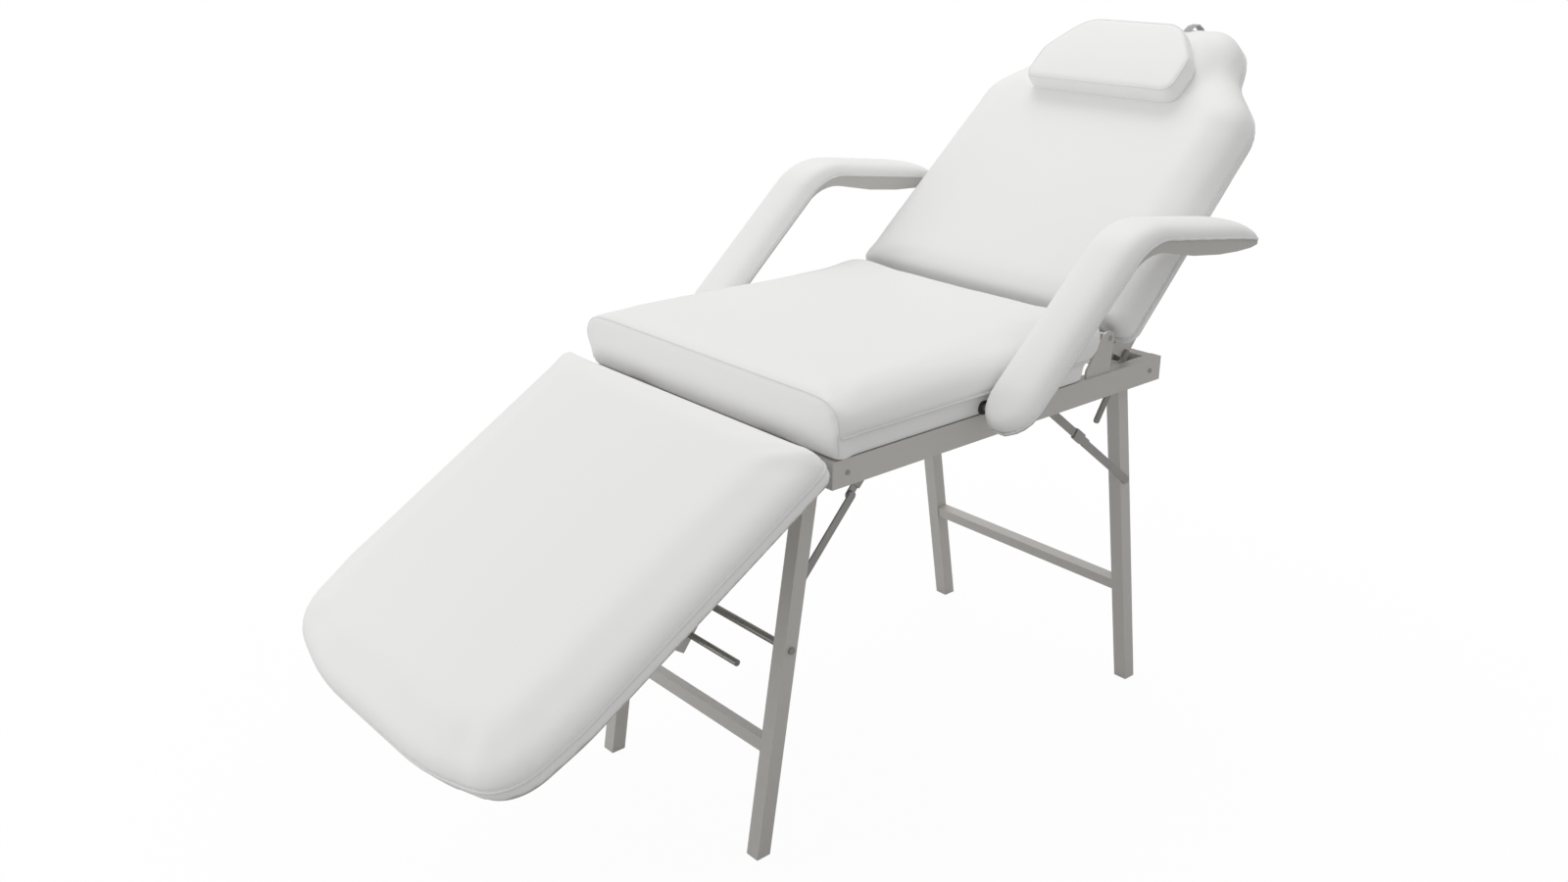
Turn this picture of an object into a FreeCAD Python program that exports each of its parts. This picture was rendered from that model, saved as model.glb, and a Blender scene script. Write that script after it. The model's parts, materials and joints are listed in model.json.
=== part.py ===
import FreeCAD, Part
import math
import os

from FreeCAD import Placement, Rotation, Vector

# Folding facial treatment chair: a welded tube frame carries a fixed seat, a reclining
# backrest, a hinged leg rest with a prop, two folding leg pairs with braces, and loose arms.
# X runs across the chair, the foot end points to -Y, Z is up and the floor is at zero.

# Driving dimensions in millimetres and degrees
SIZES = {
    # Seat frame of rectangular tube
    "frame_width": 572.0,
    "frame_length": 734.0,
    "frame_top": 652.0,
    "frame_middle_y": 101.44,
    "rail_height": 40.0,
    "rail_width": 20.0,
    "tube_wall": 1.5,
    "plug_lip": 2.0,
    "plug_depth": 12.0,
    "plug_clearance": 0.2,
    "screw_head": 7.0,
    "screw_rise": 1.6,
    "screw_inset": 26.0,
    # Leg pairs
    "leg_tube": 25.0,
    "front_leg_spread": 384.0,
    "rear_leg_spread": 456.0,
    "front_lean": 9.1,
    "rear_lean": 9.74,
    "front_axle_inset": 43.0,
    "rear_axle_inset": 38.5,
    "axle_diameter": 12.0,
    "running_clearance": 0.05,
    "leg_head": 12.5,
    "foot_sole": 3.0,
    "foot_plug": 18.0,
    "stretcher_tube": 20.0,
    "front_stretcher_drop": 462.0,
    "rear_stretcher_drop": 439.0,
    "rest_bar_drop": 300.0,
    "rest_bar_diameter": 12.0,
    "rest_bar_bolt_head": 11.0,
    "rest_bar_bolt_rise": 4.0,
    "rear_fold_droop": 3.5,
    # Folding braces
    "front_brace_inset": 230.0,
    "rear_brace_inset": 274.0,
    "front_brace_drop": 250.0,
    "rear_brace_drop": 217.0,
    "link_width": 14.0,
    "link_thickness": 3.0,
    "link_gap": 0.5,
    "elbow_gap": 2.4,
    "elbow_play": 0.4,
    "lug_thickness": 4.0,
    "lug_width": 26.0,
    "stud_diameter": 7.0,
    "stud_head": 12.0,
    "stud_head_rise": 2.5,
    "collar_length": 26.0,
    "collar_wall": 1.5,
    "collar_clearance": 0.4,
    "collar_standoff": 9.0,
    # Upholstery
    "skirt_wall": 8.0,
    "board_clearance": 0.2,
    "seat_width": 604.0,
    "seat_overhang": 9.0,
    "seat_length": 587.0,
    "seat_height": 60.0,
    "seat_base_width": 580.0,
    "seat_base_front": 7.0,
    "seat_base_length": 530.0,
    "seat_base_thickness": 32.0,
    "seat_corner": 30.0,
    "crisp_share": 0.16,
    # Backrest
    "back_tilt": 42.5,
    "back_pivot_inset": 136.0,
    "back_seat_gap": 20.0,
    "back_pivot_rise": 56.0,
    "back_start": 15.0,
    "back_width": 604.0,
    "back_taper": 16.0,
    "back_shoulder": 462.0,
    "back_neck": 540.0,
    "back_neck_width": 412.0,
    "back_head_width": 356.0,
    "back_length": 640.0,
    "back_rear_depth": 45.0,
    "back_front_depth": 32.0,
    "back_board_thickness": 12.0,
    "gusset_thickness": 4.0,
    "gusset_base": 58.0,
    "gusset_eye": 12.0,
    "gusset_edge_inset": 4.0,
    "pivot_bolt": 10.0,
    "back_arm_thickness": 4.0,
    "back_arm_inset": 6.0,
    "back_arm_length": 150.0,
    "back_arm_depth": 92.0,
    "back_arm_strip": 8.0,
    "lever_length": 120.0,
    "lever_width": 11.0,
    "lever_thickness": 5.0,
    "lever_slant": 15.0,
    "lever_bolt": 8.0,
    # Head pillow
    "pillow_start": 439.0,
    "pillow_depth": 150.0,
    "pillow_width": 318.0,
    "pillow_thickness": 40.0,
    "pillow_gap": 0.4,
    "strap_width": 14.0,
    "strap_offset": 78.0,
    "strap_lift": 1.4,
    "strap_thickness": 1.8,
    "strap_reach": 90.0,
    # Leg rest
    "leg_rest_tilt": 31.0,
    "leg_hinge_gap": 7.0,
    "leg_hinge_drop": 2.0,
    "leg_rest_start": 8.0,
    "leg_rest_length": 636.0,
    "leg_rest_root_width": 632.0,
    "leg_rest_width": 630.0,
    "leg_rest_round": 156.0,
    "leg_rest_end_width": 300.0,
    "leg_corner_rise": 36.0,
    "leg_corner_set_in": 17.0,
    "leg_rest_height": 62.0,
    "leg_rest_band": 22.0,
    "leg_board_thickness": 12.0,
    "hinge_knuckle": 12.0,
    "hinge_pin": 6.0,
    "hinge_leaf": 2.5,
    "hinge_width": 60.0,
    "hinge_spread": 320.0,
    "hinge_leaf_length": 62.0,
    "hinge_play": 0.4,
    # Prop under the leg rest
    "prop_pivot_along": 275.0,
    "prop_pivot_depth": 22.0,
    "prop_thickness": 8.0,
    "prop_eye": 15.0,
    "prop_bolt": 8.0,
    "prop_ear": 4.0,
    "prop_ear_gap": 0.5,
    "prop_plate_reach": 82.0,
    "prop_plate_width": 47.0,
    "notch_clearance": 0.6,
    "handle_diameter": 10.5,
    "handle_reach": 124.0,
    "handle_tail": 14.0,
    # Armrests
    "arm_gap": 4.5,
    "arm_width": 88.0,
    "arm_board_thickness": 9.0,
    "arm_pad_height": 25.0,
    "arm_slope": 42.2,
    "arm_droop": 7.5,
    "arm_bend": 95.0,
    "arm_corner_inset": 524.5,
    "arm_corner_rise": 234.0,
    "arm_lower_run": 356.0,
    "arm_upper_run": 326.0,
    "arm_keel": 17.0,
    "arm_taper": 100.0,
    "arm_tongue": 48.0,
    "peg_diameter": 12.0,
    "peg_length": 38.0,
    "peg_spacing": 36.0,
    "peg_front": 292.0,
    "peg_rise": 14.0,
    "bush_wall": 4.0,
    "bush_flange": 24.0,
    "bush_flange_rise": 2.0,
    "peg_clearance": 0.05,
    "arm_plate_thickness": 5.0,
    "arm_plate_inset": 2.0,
}

doc = FreeCAD.newDocument("treatment_chair")
sheet = doc.addObject("Spreadsheet::Sheet", "Sizes")
for row, (alias, number) in enumerate(SIZES.items(), start=1):
    sheet.set(f"A{row}", alias)
    sheet.set(f"B{row}", str(number))
    sheet.setAlias(f"B{row}", alias)
doc.recompute()

X_AXIS = Vector(1, 0, 0)
SIDES = {"left": -1, "right": 1}
nodes = {}


def size(alias):
    """A driving dimension from the sheet."""
    return float(sheet.get(alias))


def node(part, label):
    """Keep a finished piece under its node name."""
    part.Label = label
    nodes[label] = part
    return part


def bind(part, **expressions):
    """Tie properties of a piece to cells of the sheet."""
    for name, expression in expressions.items():
        part.setExpression(name, expression)
    return part


def cell(expression):
    """Write plain names as references to the sheet."""
    words = expression.replace("(", " ( ").replace(")", " ) ").split()
    return " ".join(f"Sizes.{word}" if word in SIZES else word for word in words)


# Frames of reference
SIDE_VIEW = Rotation(Vector(0, 1, 0), Vector(0, 0, 1), X_AXIS, "XYZ")


def side_plane(x):
    """Sketch plane whose axes are the chair's Y and Z, at a distance across."""
    return Placement(Vector(x, 0, 0), SIDE_VIEW)


def tilted(origin, angle):
    """Frame at a point, its Y axis leaning up from the chair's Y by an angle."""
    return Placement(origin, Rotation(X_AXIS, angle))


def tilted_side(frame, x):
    """Sketch plane across a tilted frame: along its slope, then square to it."""
    return frame.multiply(side_plane(x))


def along_x(point):
    """Placement that lays a cylinder's axis along X from a point."""
    return Placement(point, Rotation(Vector(0, 1, 0), 90))


# Solids from primitives
def box(name, length, width, height, placement):
    part = doc.addObject("Part::Box", name)
    bind(part, Length=cell(length), Width=cell(width), Height=cell(height))
    part.Placement = placement
    return part


def rod(name, diameter, length, placement):
    part = doc.addObject("Part::Cylinder", name)
    bind(part, Radius=cell(f"( {diameter} ) / 2"), Height=cell(length))
    part.Placement = placement
    return part


def cut(name, base, *tools):
    for number, tool in enumerate(tools):
        part = doc.addObject("Part::Cut", f"{name}_cut{number}")
        part.Base = base
        part.Tool = tool
        base = part
    return base


def fuse(name, *pieces):
    part = doc.addObject("Part::MultiFuse", f"{name}_joined")
    part.Shapes = list(pieces)
    return part


def group(name, pieces):
    part = doc.addObject("Part::Compound", f"{name}_group")
    part.Links = list(pieces)
    return part


# Outlines
def inset(points, distances):
    """Move each side of a counter-clockwise outline inwards by its own distance."""
    moved = []
    count = len(points)
    for index in range(count):
        before, here, after = (points[(index + step) % count] for step in (-1, 0, 1))
        first = (here - before).normalize()
        second = (after - here).normalize()
        first_normal = Vector(-first.y, first.x, 0)
        second_normal = Vector(-second.y, second.x, 0)
        lean = first_normal.dot(second_normal)
        first_far, second_far = distances[index - 1], distances[index]
        along_first = (first_far - lean * second_far) / (1 - lean ** 2)
        along_second = (second_far - lean * first_far) / (1 - lean ** 2)
        moved.append(here + first_normal * along_first + second_normal * along_second)
    return moved


def rounded(points, radii):
    """Lines and tangent arcs round an outline, one radius to each corner."""
    count = len(points)
    corners = []
    for index in range(count):
        here = points[index]
        back = (points[index - 1] - here).normalize()
        ahead = (points[(index + 1) % count] - here).normalize()
        half = back.getAngle(ahead) / 2
        run = radii[index] / math.tan(half)
        middle = here + (back + ahead).normalize() * (radii[index] / math.sin(half) - radii[index])
        corners.append((here + back * run, middle, here + ahead * run))
    curves = []
    for index in range(count):
        start, middle, end = corners[index]
        following = corners[(index + 1) % count][0]
        curves.append(Part.Arc(start, middle, end))
        curves.append(Part.LineSegment(end, following))
    return curves


def is_hollow(points, index):
    """True where a counter-clockwise outline turns inwards."""
    before, here, after = (points[(index + step) % len(points)] for step in (-1, 0, 1))
    return (here - before).cross(after - here).z < 0


def inset_rounded(points, radii, distance, crisp_side=None):
    """An outline moved inwards, one side by less, with its arcs kept concentric where they can be."""
    smallest = 3.0
    distances = [distance] * len(points)
    if crisp_side is not None:
        distances[crisp_side] = distance * size("crisp_share")
    changed = []
    for index, radius in enumerate(radii):
        step = distance if is_hollow(points, index) else -distance
        changed.append(max(radius + step, smallest))
    return rounded(inset(points, distances), changed)


def mirrored(half):
    """Complete a half outline on the +X side with its mirror image."""
    return half + [Vector(-point.x, point.y, 0) for point in reversed(half)]


def wire_at(curves, height):
    """A closed wire from flat curves, lifted to a height."""
    wire = Part.Wire([curve.toShape() for curve in curves])
    wire.translate(Vector(0, 0, height))
    return wire


# Solids from sketches and lofts
def plate(label, curves, thickness, holes, placement):
    """A flat piece: a closed outline with round holes, padded to a thickness."""
    body = doc.addObject("PartDesign::Body", f"{label}_body")
    sketch = body.newObject("Sketcher::SketchObject", f"{label}_outline")
    plane = [face for face in body.Origin.OriginFeatures if face.Role == "XY_Plane"][0]
    sketch.AttachmentSupport = [(plane, "")]
    sketch.MapMode = "FlatFace"
    for curve in curves:
        sketch.addGeometry(curve, False)
    for centre, diameter in holes:
        circle = Part.Circle(Vector(centre[0], centre[1], 0), Vector(0, 0, 1), diameter / 2)
        sketch.addGeometry(circle, False)
    pad = body.newObject("PartDesign::Pad", f"{label}_pad")
    pad.Profile = sketch
    bind(pad, Length=cell(thickness))
    body.Placement = placement
    return body


def strap_outline(length, width):
    """A bar with round ends, from an eye at the origin to an eye at its length."""
    half = width / 2
    quarter = half / math.sqrt(2)
    curves = [Part.LineSegment(Vector(0, -half, 0), Vector(length, -half, 0))]
    far = [Vector(length, -half, 0), Vector(length + quarter, -quarter, 0), Vector(length + half, 0, 0),
           Vector(length + quarter, quarter, 0), Vector(length, half, 0)]
    near = [Vector(0, half, 0), Vector(-quarter, quarter, 0), Vector(-half, 0, 0),
            Vector(-quarter, -quarter, 0), Vector(0, -half, 0)]
    curves.append(Part.Arc(far[0], far[1], far[2]))
    curves.append(Part.Arc(far[2], far[3], far[4]))
    curves.append(Part.LineSegment(far[4], near[0]))
    curves.append(Part.Arc(near[0], near[1], near[2]))
    curves.append(Part.Arc(near[2], near[3], near[4]))
    return curves


def cushion(label, points, radii, profile, placement, pocket=None, crisp_side=None):
    """A crowned pad: sections of one outline, each at a height and drawn in by a distance."""
    wires = [wire_at(inset_rounded(points, radii, drawn_in, crisp_side), height)
             for height, drawn_in in profile]
    shape = Part.makeLoft(wires, True, True)
    if pocket:
        drawn_in, low, high = pocket
        face = Part.Face(wire_at(inset_rounded(points, radii, drawn_in), low))
        shape = shape.cut(face.extrude(Vector(0, 0, high - low)))
    part = doc.addObject("Part::Feature", f"{label}_solid")
    part.Shape = shape
    part.Placement = placement
    return node(part, label)


# Places that several pieces share
seat_half = size("seat_width") / 2
base_half = size("seat_base_width") / 2
back_half = size("back_width") / 2
front_end = size("frame_middle_y") - size("frame_length") / 2
rear_end = size("frame_middle_y") + size("frame_length") / 2
rail_top = size("frame_top")
rail_bottom = rail_top - size("rail_height")
rail_middle = rail_top - size("rail_height") / 2
rail_outer = size("frame_width") / 2
rail_inner = rail_outer - size("rail_width")
leg_place = {pair: size(f"{pair}_leg_spread") / 2 for pair in ("front", "rear")}

# Side rails, cross tubes and their end plugs
plugs = []
for side, sign in SIDES.items():
    low_x = rail_inner if sign > 0 else -rail_outer
    outer = box(f"rail_{side}", "rail_width", "frame_length", "rail_height",
                Placement(Vector(low_x, front_end, rail_bottom), Rotation()))
    bore = box(f"rail_bore_{side}", "rail_width - 2 * tube_wall", "frame_length",
               "rail_height - 2 * tube_wall",
               Placement(Vector(low_x + size("tube_wall"), front_end, rail_bottom + size("tube_wall")),
                         Rotation()))
    node(cut(f"rail_{side}", outer, bore), f"side_rail_{side}")
    gap = size("tube_wall") + size("plug_clearance")
    for end, plug_y, lip_y in (("front", front_end, front_end - size("plug_lip")),
                               ("rear", rear_end - size("plug_depth"), rear_end)):
        stem = box(f"plug_{side}_{end}", "rail_width - 2 * ( tube_wall + plug_clearance )",
                   "plug_depth", "rail_height - 2 * ( tube_wall + plug_clearance )",
                   Placement(Vector(low_x + gap, plug_y, rail_bottom + gap), Rotation()))
        lip = box(f"plug_lip_{side}_{end}", "rail_width", "plug_lip", "rail_height",
                  Placement(Vector(low_x, lip_y, rail_bottom), Rotation()))
        plugs.append(fuse(f"plug_{side}_{end}", stem, lip))
node(group("plugs", plugs), "rail_end_plugs")

for end, tube_y in (("front", front_end), ("rear", rear_end - size("rail_width"))):
    outer = box(f"cross_{end}", "frame_width - 2 * rail_width", "rail_width", "rail_height",
                Placement(Vector(-rail_inner, tube_y, rail_bottom), Rotation()))
    bore = box(f"cross_bore_{end}", "frame_width - 2 * rail_width", "rail_width - 2 * tube_wall",
               "rail_height - 2 * tube_wall",
               Placement(Vector(-rail_inner, tube_y + size("tube_wall"), rail_bottom + size("tube_wall")),
                         Rotation()))
    node(cut(f"cross_{end}", outer, bore), f"{end}_cross_tube")

# Screw heads on the outer faces of the rails
screws = []
for side, sign in SIDES.items():
    face_x = rail_outer if sign > 0 else -rail_outer - size("screw_rise")
    screw_places = {"front": front_end + size("screw_inset"), "rear": rear_end - size("screw_inset")}
    for end, screw_y in screw_places.items():
        screws.append(rod(f"screw_{side}_{end}", "screw_head", "screw_rise",
                          along_x(Vector(face_x, screw_y, rail_middle))))
node(group("screws", screws), "rail_screws")

# Legs with their axles, stretchers and feet
LEG_PAIRS = {
    "front": {"lean": -size("front_lean"), "axle_y": front_end + size("front_axle_inset"), "droop": 0.0},
    "rear": {"lean": size("rear_lean"), "axle_y": rear_end - size("rear_axle_inset"),
             "droop": size("rear_fold_droop")},
}
FLOOR_SLAB = 200.0
for pair, facts in LEG_PAIRS.items():
    axle = Vector(0, facts["axle_y"], rail_middle)
    leg_frame = tilted(axle, facts["lean"])
    facts["frame"] = leg_frame
    facts["axle"] = axle
    lean = math.radians(abs(facts["lean"]))
    reach = rail_middle / math.cos(lean) + size("leg_tube")
    spread = leg_place[pair]
    half_tube = size("leg_tube") / 2
    axle_rod = rod(f"{pair}_axle", "axle_diameter", "frame_width - 2 * rail_width",
                   along_x(Vector(-rail_inner, axle.y, axle.z)))
    node(axle_rod, f"{pair}_leg_axle")
    reach_text = f"{reach} + leg_head"
    feet = []
    for side, sign in SIDES.items():
        def leg_box(name, margin):
            offset = Vector(sign * spread - half_tube + margin, -half_tube + margin, -reach)
            return box(f"{pair}_{name}_{side}", f"leg_tube - 2 * {margin}", f"leg_tube - 2 * {margin}",
                       reach_text, leg_frame.multiply(Placement(offset, Rotation())))
        slab_place = Placement(Vector(-FLOOR_SLAB + sign * spread, axle.y - 2 * FLOOR_SLAB, -FLOOR_SLAB),
                               Rotation())
        ground = box(f"{pair}_ground_{side}", f"2 * {FLOOR_SLAB}", f"4 * {FLOOR_SLAB}",
                     f"{FLOOR_SLAB} + foot_sole", slab_place)
        hole = rod(f"{pair}_axle_hole_{side}", "axle_diameter + 2 * running_clearance", "2 * leg_tube",
                   along_x(Vector(sign * spread - size("leg_tube"), axle.y, axle.z)))
        outer = leg_box("leg", 0.0)
        bore = leg_box("leg_bore", size("tube_wall"))
        node(cut(f"{pair}_leg_{side}", outer, bore, ground, hole), f"{pair}_leg_{side}")
        sole_slab = box(f"{pair}_sole_{side}", f"2 * {FLOOR_SLAB}", f"4 * {FLOOR_SLAB}", "foot_sole",
                        Placement(Vector(slab_place.Base.x, slab_place.Base.y, 0), Rotation()))
        plug_slab = box(f"{pair}_foot_slab_{side}", f"2 * {FLOOR_SLAB}", f"4 * {FLOOR_SLAB}", "foot_plug",
                        Placement(Vector(slab_place.Base.x, slab_place.Base.y, 0), Rotation()))
        sole = doc.addObject("Part::Common", f"{pair}_foot_sole_{side}")
        sole.Base = leg_box("sole_prism", 0.0)
        sole.Tool = sole_slab
        stem = doc.addObject("Part::Common", f"{pair}_foot_stem_{side}")
        stem.Base = leg_box("stem_prism", size("tube_wall") + size("plug_clearance"))
        stem.Tool = plug_slab
        feet.append(fuse(f"{pair}_foot_{side}", sole, stem))
    node(group(f"{pair}_feet", feet), f"{pair}_foot_caps")
    inner_span = f"{pair}_leg_spread - leg_tube"
    half_span = spread - half_tube
    half_stretcher = size("stretcher_tube") / 2
    wall = size("tube_wall")
    drop = size(f"{pair}_stretcher_drop")
    outer = box(f"{pair}_stretcher", inner_span, "stretcher_tube", "stretcher_tube", leg_frame.multiply(
        Placement(Vector(-half_span, -half_stretcher, -drop - half_stretcher), Rotation())))
    bore = box(f"{pair}_stretcher_bore", inner_span, "stretcher_tube - 2 * tube_wall",
               "stretcher_tube - 2 * tube_wall", leg_frame.multiply(
                   Placement(Vector(-half_span, wall - half_stretcher, wall - drop - half_stretcher),
                             Rotation())))
    node(cut(f"{pair}_stretcher", outer, bore), f"{pair}_stretcher")

# Rest bar between the front legs, which the prop leans on
front = LEG_PAIRS["front"]
front_inner = leg_place["front"] - size("leg_tube") / 2
front_outer = leg_place["front"] + size("leg_tube") / 2
bar_place = front["frame"].multVec(Vector(0, 0, -size("rest_bar_drop")))
node(rod("rest_bar_rod", "rest_bar_diameter", "front_leg_spread - leg_tube",
         along_x(bar_place - X_AXIS * front_inner)), "rest_bar")
bolts = []
for side, sign in SIDES.items():
    head_x = front_outer if sign > 0 else -front_outer - size("rest_bar_bolt_rise")
    bolts.append(rod(f"rest_bar_bolt_{side}", "rest_bar_bolt_head", "rest_bar_bolt_rise",
                     along_x(Vector(head_x, bar_place.y, bar_place.z))))
node(group("rest_bar_bolts", bolts), "rest_bar_bolts")

# Folding braces: straight when the legs stand, folded along the rail when they are put away
front["brace_y"] = front_end + size("front_brace_inset")
LEG_PAIRS["rear"]["brace_y"] = rear_end - size("rear_brace_inset")
LANE = size("link_thickness") + size("elbow_gap")
print("fold ratios: pair, leg fold, upper link, lower link, collar direction")
for pair, facts in LEG_PAIRS.items():
    turn = 1 if pair == "front" else -1
    upper_pin = Vector(0, facts["brace_y"], rail_middle)
    lower_pin = facts["frame"].multVec(Vector(0, 0, -size(f"{pair}_brace_drop")))
    leg_fold = turn * (90 + abs(facts["lean"]) - facts["droop"])
    droop = math.radians(facts["droop"])
    folded_way = Vector(0, turn * math.cos(droop), -math.sin(droop))
    folded_pin = facts["axle"] + folded_way * size(f"{pair}_brace_drop")
    span = upper_pin.distanceToPoint(lower_pin)
    offset = turn * (folded_pin.y - upper_pin.y)
    sink = upper_pin.z - folded_pin.z
    upper_length = (span ** 2 - offset ** 2 - sink ** 2) / (2 * (span + offset))
    lower_length = span - upper_length
    direction = (lower_pin - upper_pin).normalize()
    elbow = upper_pin + direction * upper_length
    rest_angle = math.degrees(math.atan2(direction.z, direction.y))
    folded_elbow = upper_pin - Vector(0, turn, 0) * upper_length
    back_line = folded_elbow - folded_pin
    folded_back = math.degrees(math.atan2(back_line.z, back_line.y))
    folded_upper = 180.0 if pair == "front" else 0.0
    upper_turn = (folded_upper - rest_angle) % 360
    upper_turn = upper_turn - 360 if upper_turn > 180 else upper_turn
    lower_turn = (folded_back - (rest_angle + 180)) % 360 - leg_fold
    while lower_turn > 180:
        lower_turn -= 360
    while lower_turn < -180:
        lower_turn += 360
    print(pair, leg_fold, upper_turn / leg_fold, lower_turn / leg_fold, direction.y, direction.z)
    print(pair, "pins", upper_pin.y, upper_pin.z, lower_pin.y, lower_pin.z)
    # The front braces run inside their legs and the rear braces outside theirs
    outward = 1 if pair == "rear" else -1
    leg_face = leg_place[pair] + outward * size("leg_tube") / 2
    lower_near = leg_face + outward * size("link_gap")
    upper_near = lower_near + outward * LANE
    thickness = size("link_thickness")
    lane_low = {"lower": min(lower_near, lower_near + outward * thickness),
                "upper": min(upper_near, upper_near + outward * thickness)}
    eye = size("stud_diameter") + 2 * size("running_clearance")
    frames = {"upper": tilted(upper_pin, rest_angle), "lower": tilted(lower_pin, rest_angle + 180)}
    lengths = {"upper": upper_length, "lower": lower_length}
    links = {"upper": [], "lower": []}
    rail_studs = []
    leg_studs = []
    for side, sign in SIDES.items():
        for link, pieces in links.items():
            low = lane_low[link] if sign > 0 else -lane_low[link] - thickness
            pieces.append(plate(f"{pair}_{link}_link_{side}", strap_outline(lengths[link], size("link_width")),
                                "link_thickness", [((0, 0), eye)], tilted_side(frames[link], low)))
        # A spacer washer on the upper link fills the elbow
        washer_start = upper_near - outward * (size("elbow_gap") - size("elbow_play"))
        washer_low = min(washer_start, upper_near)
        washer_long = size("elbow_gap") - size("elbow_play")
        washer_low = washer_low if sign > 0 else -washer_low - washer_long
        washer = rod(f"{pair}_elbow_washer_{side}", "stud_head", "elbow_gap - elbow_play",
                     along_x(Vector(washer_low, elbow.y, elbow.z)))
        links["upper"][-1] = fuse(f"{pair}_upper_link_{side}", links["upper"][-1], washer)
        # The rear braces hang on studs in the rails, the front ones on lugs under the seat
        upper_far = upper_near + outward * thickness
        if pair == "rear":
            inner_x = upper_near - size("link_gap")
            low = inner_x if sign > 0 else -rail_inner
            rail_studs.append(rod(f"{pair}_rail_stud_{side}", "stud_diameter", f"{rail_inner - inner_x}",
                                  along_x(Vector(low, upper_pin.y, upper_pin.z))))
        else:
            lug_high = upper_far - size("link_gap")
            lug_low = lug_high - size("lug_thickness")
            low = lug_low if sign > 0 else -lug_high
            lug_half = size("lug_width") / 2
            lug_points = [Vector(upper_pin.y - lug_half, rail_top, 0),
                          Vector(upper_pin.y - lug_half / 2, upper_pin.z - lug_half / 2, 0),
                          Vector(upper_pin.y + lug_half / 2, upper_pin.z - lug_half / 2, 0),
                          Vector(upper_pin.y + lug_half, rail_top, 0)]
            lug = plate(f"{pair}_lug_{side}", rounded(lug_points, [1, 5, 5, 1]), "lug_thickness", [],
                        side_plane(low))
            shank_long = upper_near - lug_low
            shank = rod(f"{pair}_lug_stud_{side}", "stud_diameter", f"{shank_long}",
                        along_x(Vector(lug_low if sign > 0 else -upper_near, upper_pin.y, upper_pin.z)))
            rail_studs.append(fuse(f"{pair}_lug_{side}", lug, shank))
        stud_length = thickness + size("link_gap")
        low = leg_face if outward > 0 else leg_face - stud_length
        low = low if sign > 0 else -low - stud_length
        leg_studs.append(rod(f"{pair}_leg_stud_{side}", "stud_diameter", "link_thickness + link_gap",
                             along_x(Vector(low, lower_pin.y, lower_pin.z))))
        # The lock collar is a sleeve on the upper link that waits just above the elbow
        clear = size("collar_clearance")
        wall = size("collar_wall")
        lane = lane_low["upper"] if sign > 0 else -lane_low["upper"] - thickness
        low = lane - clear
        width = thickness + 2 * clear
        depth = size("link_width") + 2 * clear
        start = upper_length - size("link_width") / 2 - size("collar_standoff") - size("collar_length")
        outer = box(f"{pair}_collar_{side}", "link_thickness + 2 * ( collar_clearance + collar_wall )",
                    "collar_length", "link_width + 2 * ( collar_clearance + collar_wall )",
                    frames["upper"].multiply(
                        Placement(Vector(low - wall, start, -depth / 2 - wall), Rotation())))
        bore = box(f"{pair}_collar_bore_{side}", "link_thickness + 2 * collar_clearance", "collar_length",
                   "link_width + 2 * collar_clearance",
                   frames["upper"].multiply(Placement(Vector(low, start, -depth / 2), Rotation())))
        node(cut(f"{pair}_collar_{side}", outer, bore), f"{pair}_lock_collar_{side}")
    for link, pieces in links.items():
        node(group(f"{pair}_{link}_links", pieces), f"{pair}_brace_{link}_links")
    node(group(f"{pair}_rail_studs", rail_studs), f"{pair}_brace_{'studs' if pair == 'rear' else 'lugs'}")
    node(group(f"{pair}_leg_studs", leg_studs), f"{pair}_brace_leg_studs")

# Seat: a covered base panel with holes for the arm bushes, and a crowned cushion that leans in at the rear
seat_front = front_end - size("seat_overhang")
seat_rear = seat_front + size("seat_length")
base_front = front_end + size("seat_base_front")
base_outline = mirrored([Vector(base_half, base_front, 0),
                         Vector(base_half, base_front + size("seat_base_length"), 0)])
peg_y = front_end + size("peg_front")
peg_z = rail_top + size("peg_rise")
peg_spots = (peg_y, peg_y + size("peg_spacing"))
bush_outer = "peg_diameter + 2 * bush_wall"
bush_length = size("peg_length") - 2
base_panel = plate("seat_base", rounded(base_outline, [size("seat_corner")] * 4), "seat_base_thickness", [],
                   Placement(Vector(0, 0, rail_top), Rotation()))
bush_holes = []
for side, sign in SIDES.items():
    for number, spot in enumerate(peg_spots):
        start = base_half - bush_length if sign > 0 else -base_half
        bush_holes.append(rod(f"bush_hole_{side}_{number}", bush_outer, f"{bush_length}",
                              along_x(Vector(start, spot, peg_z))))
node(cut("seat_base", base_panel, *bush_holes), "seat_base")
seat_high = size("seat_height")
seat_sections = [(0, 7.5, 15.5), (0.28, 0.5, 11.5), (0.53, 0, 3), (0.71, 3.5, -3), (0.84, 15.5, -5),
                 (0.95, 41.5, -5), (1.0, 96.5, -5)]
board_inset = size("skirt_wall") + size("board_clearance")
seat_wires = []
for share, drawn_in, lean_in in seat_sections:
    front_y = seat_front + drawn_in * size("crisp_share")
    rear_y = seat_rear - drawn_in - lean_in
    half = seat_half - drawn_in
    outline = mirrored([Vector(half, front_y, 0), Vector(half, rear_y, 0)])
    seat_wires.append(wire_at(rounded(outline, [size("seat_corner")] * 4), seat_high * share))
seat_cushion = doc.addObject("Part::Feature", "seat_cushion_solid")
seat_cushion.Shape = Part.makeLoft(seat_wires, True, True)
seat_cushion.Placement = Placement(Vector(0, 0, rail_top + size("seat_base_thickness")), Rotation())
node(seat_cushion, "seat_cushion")

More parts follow.
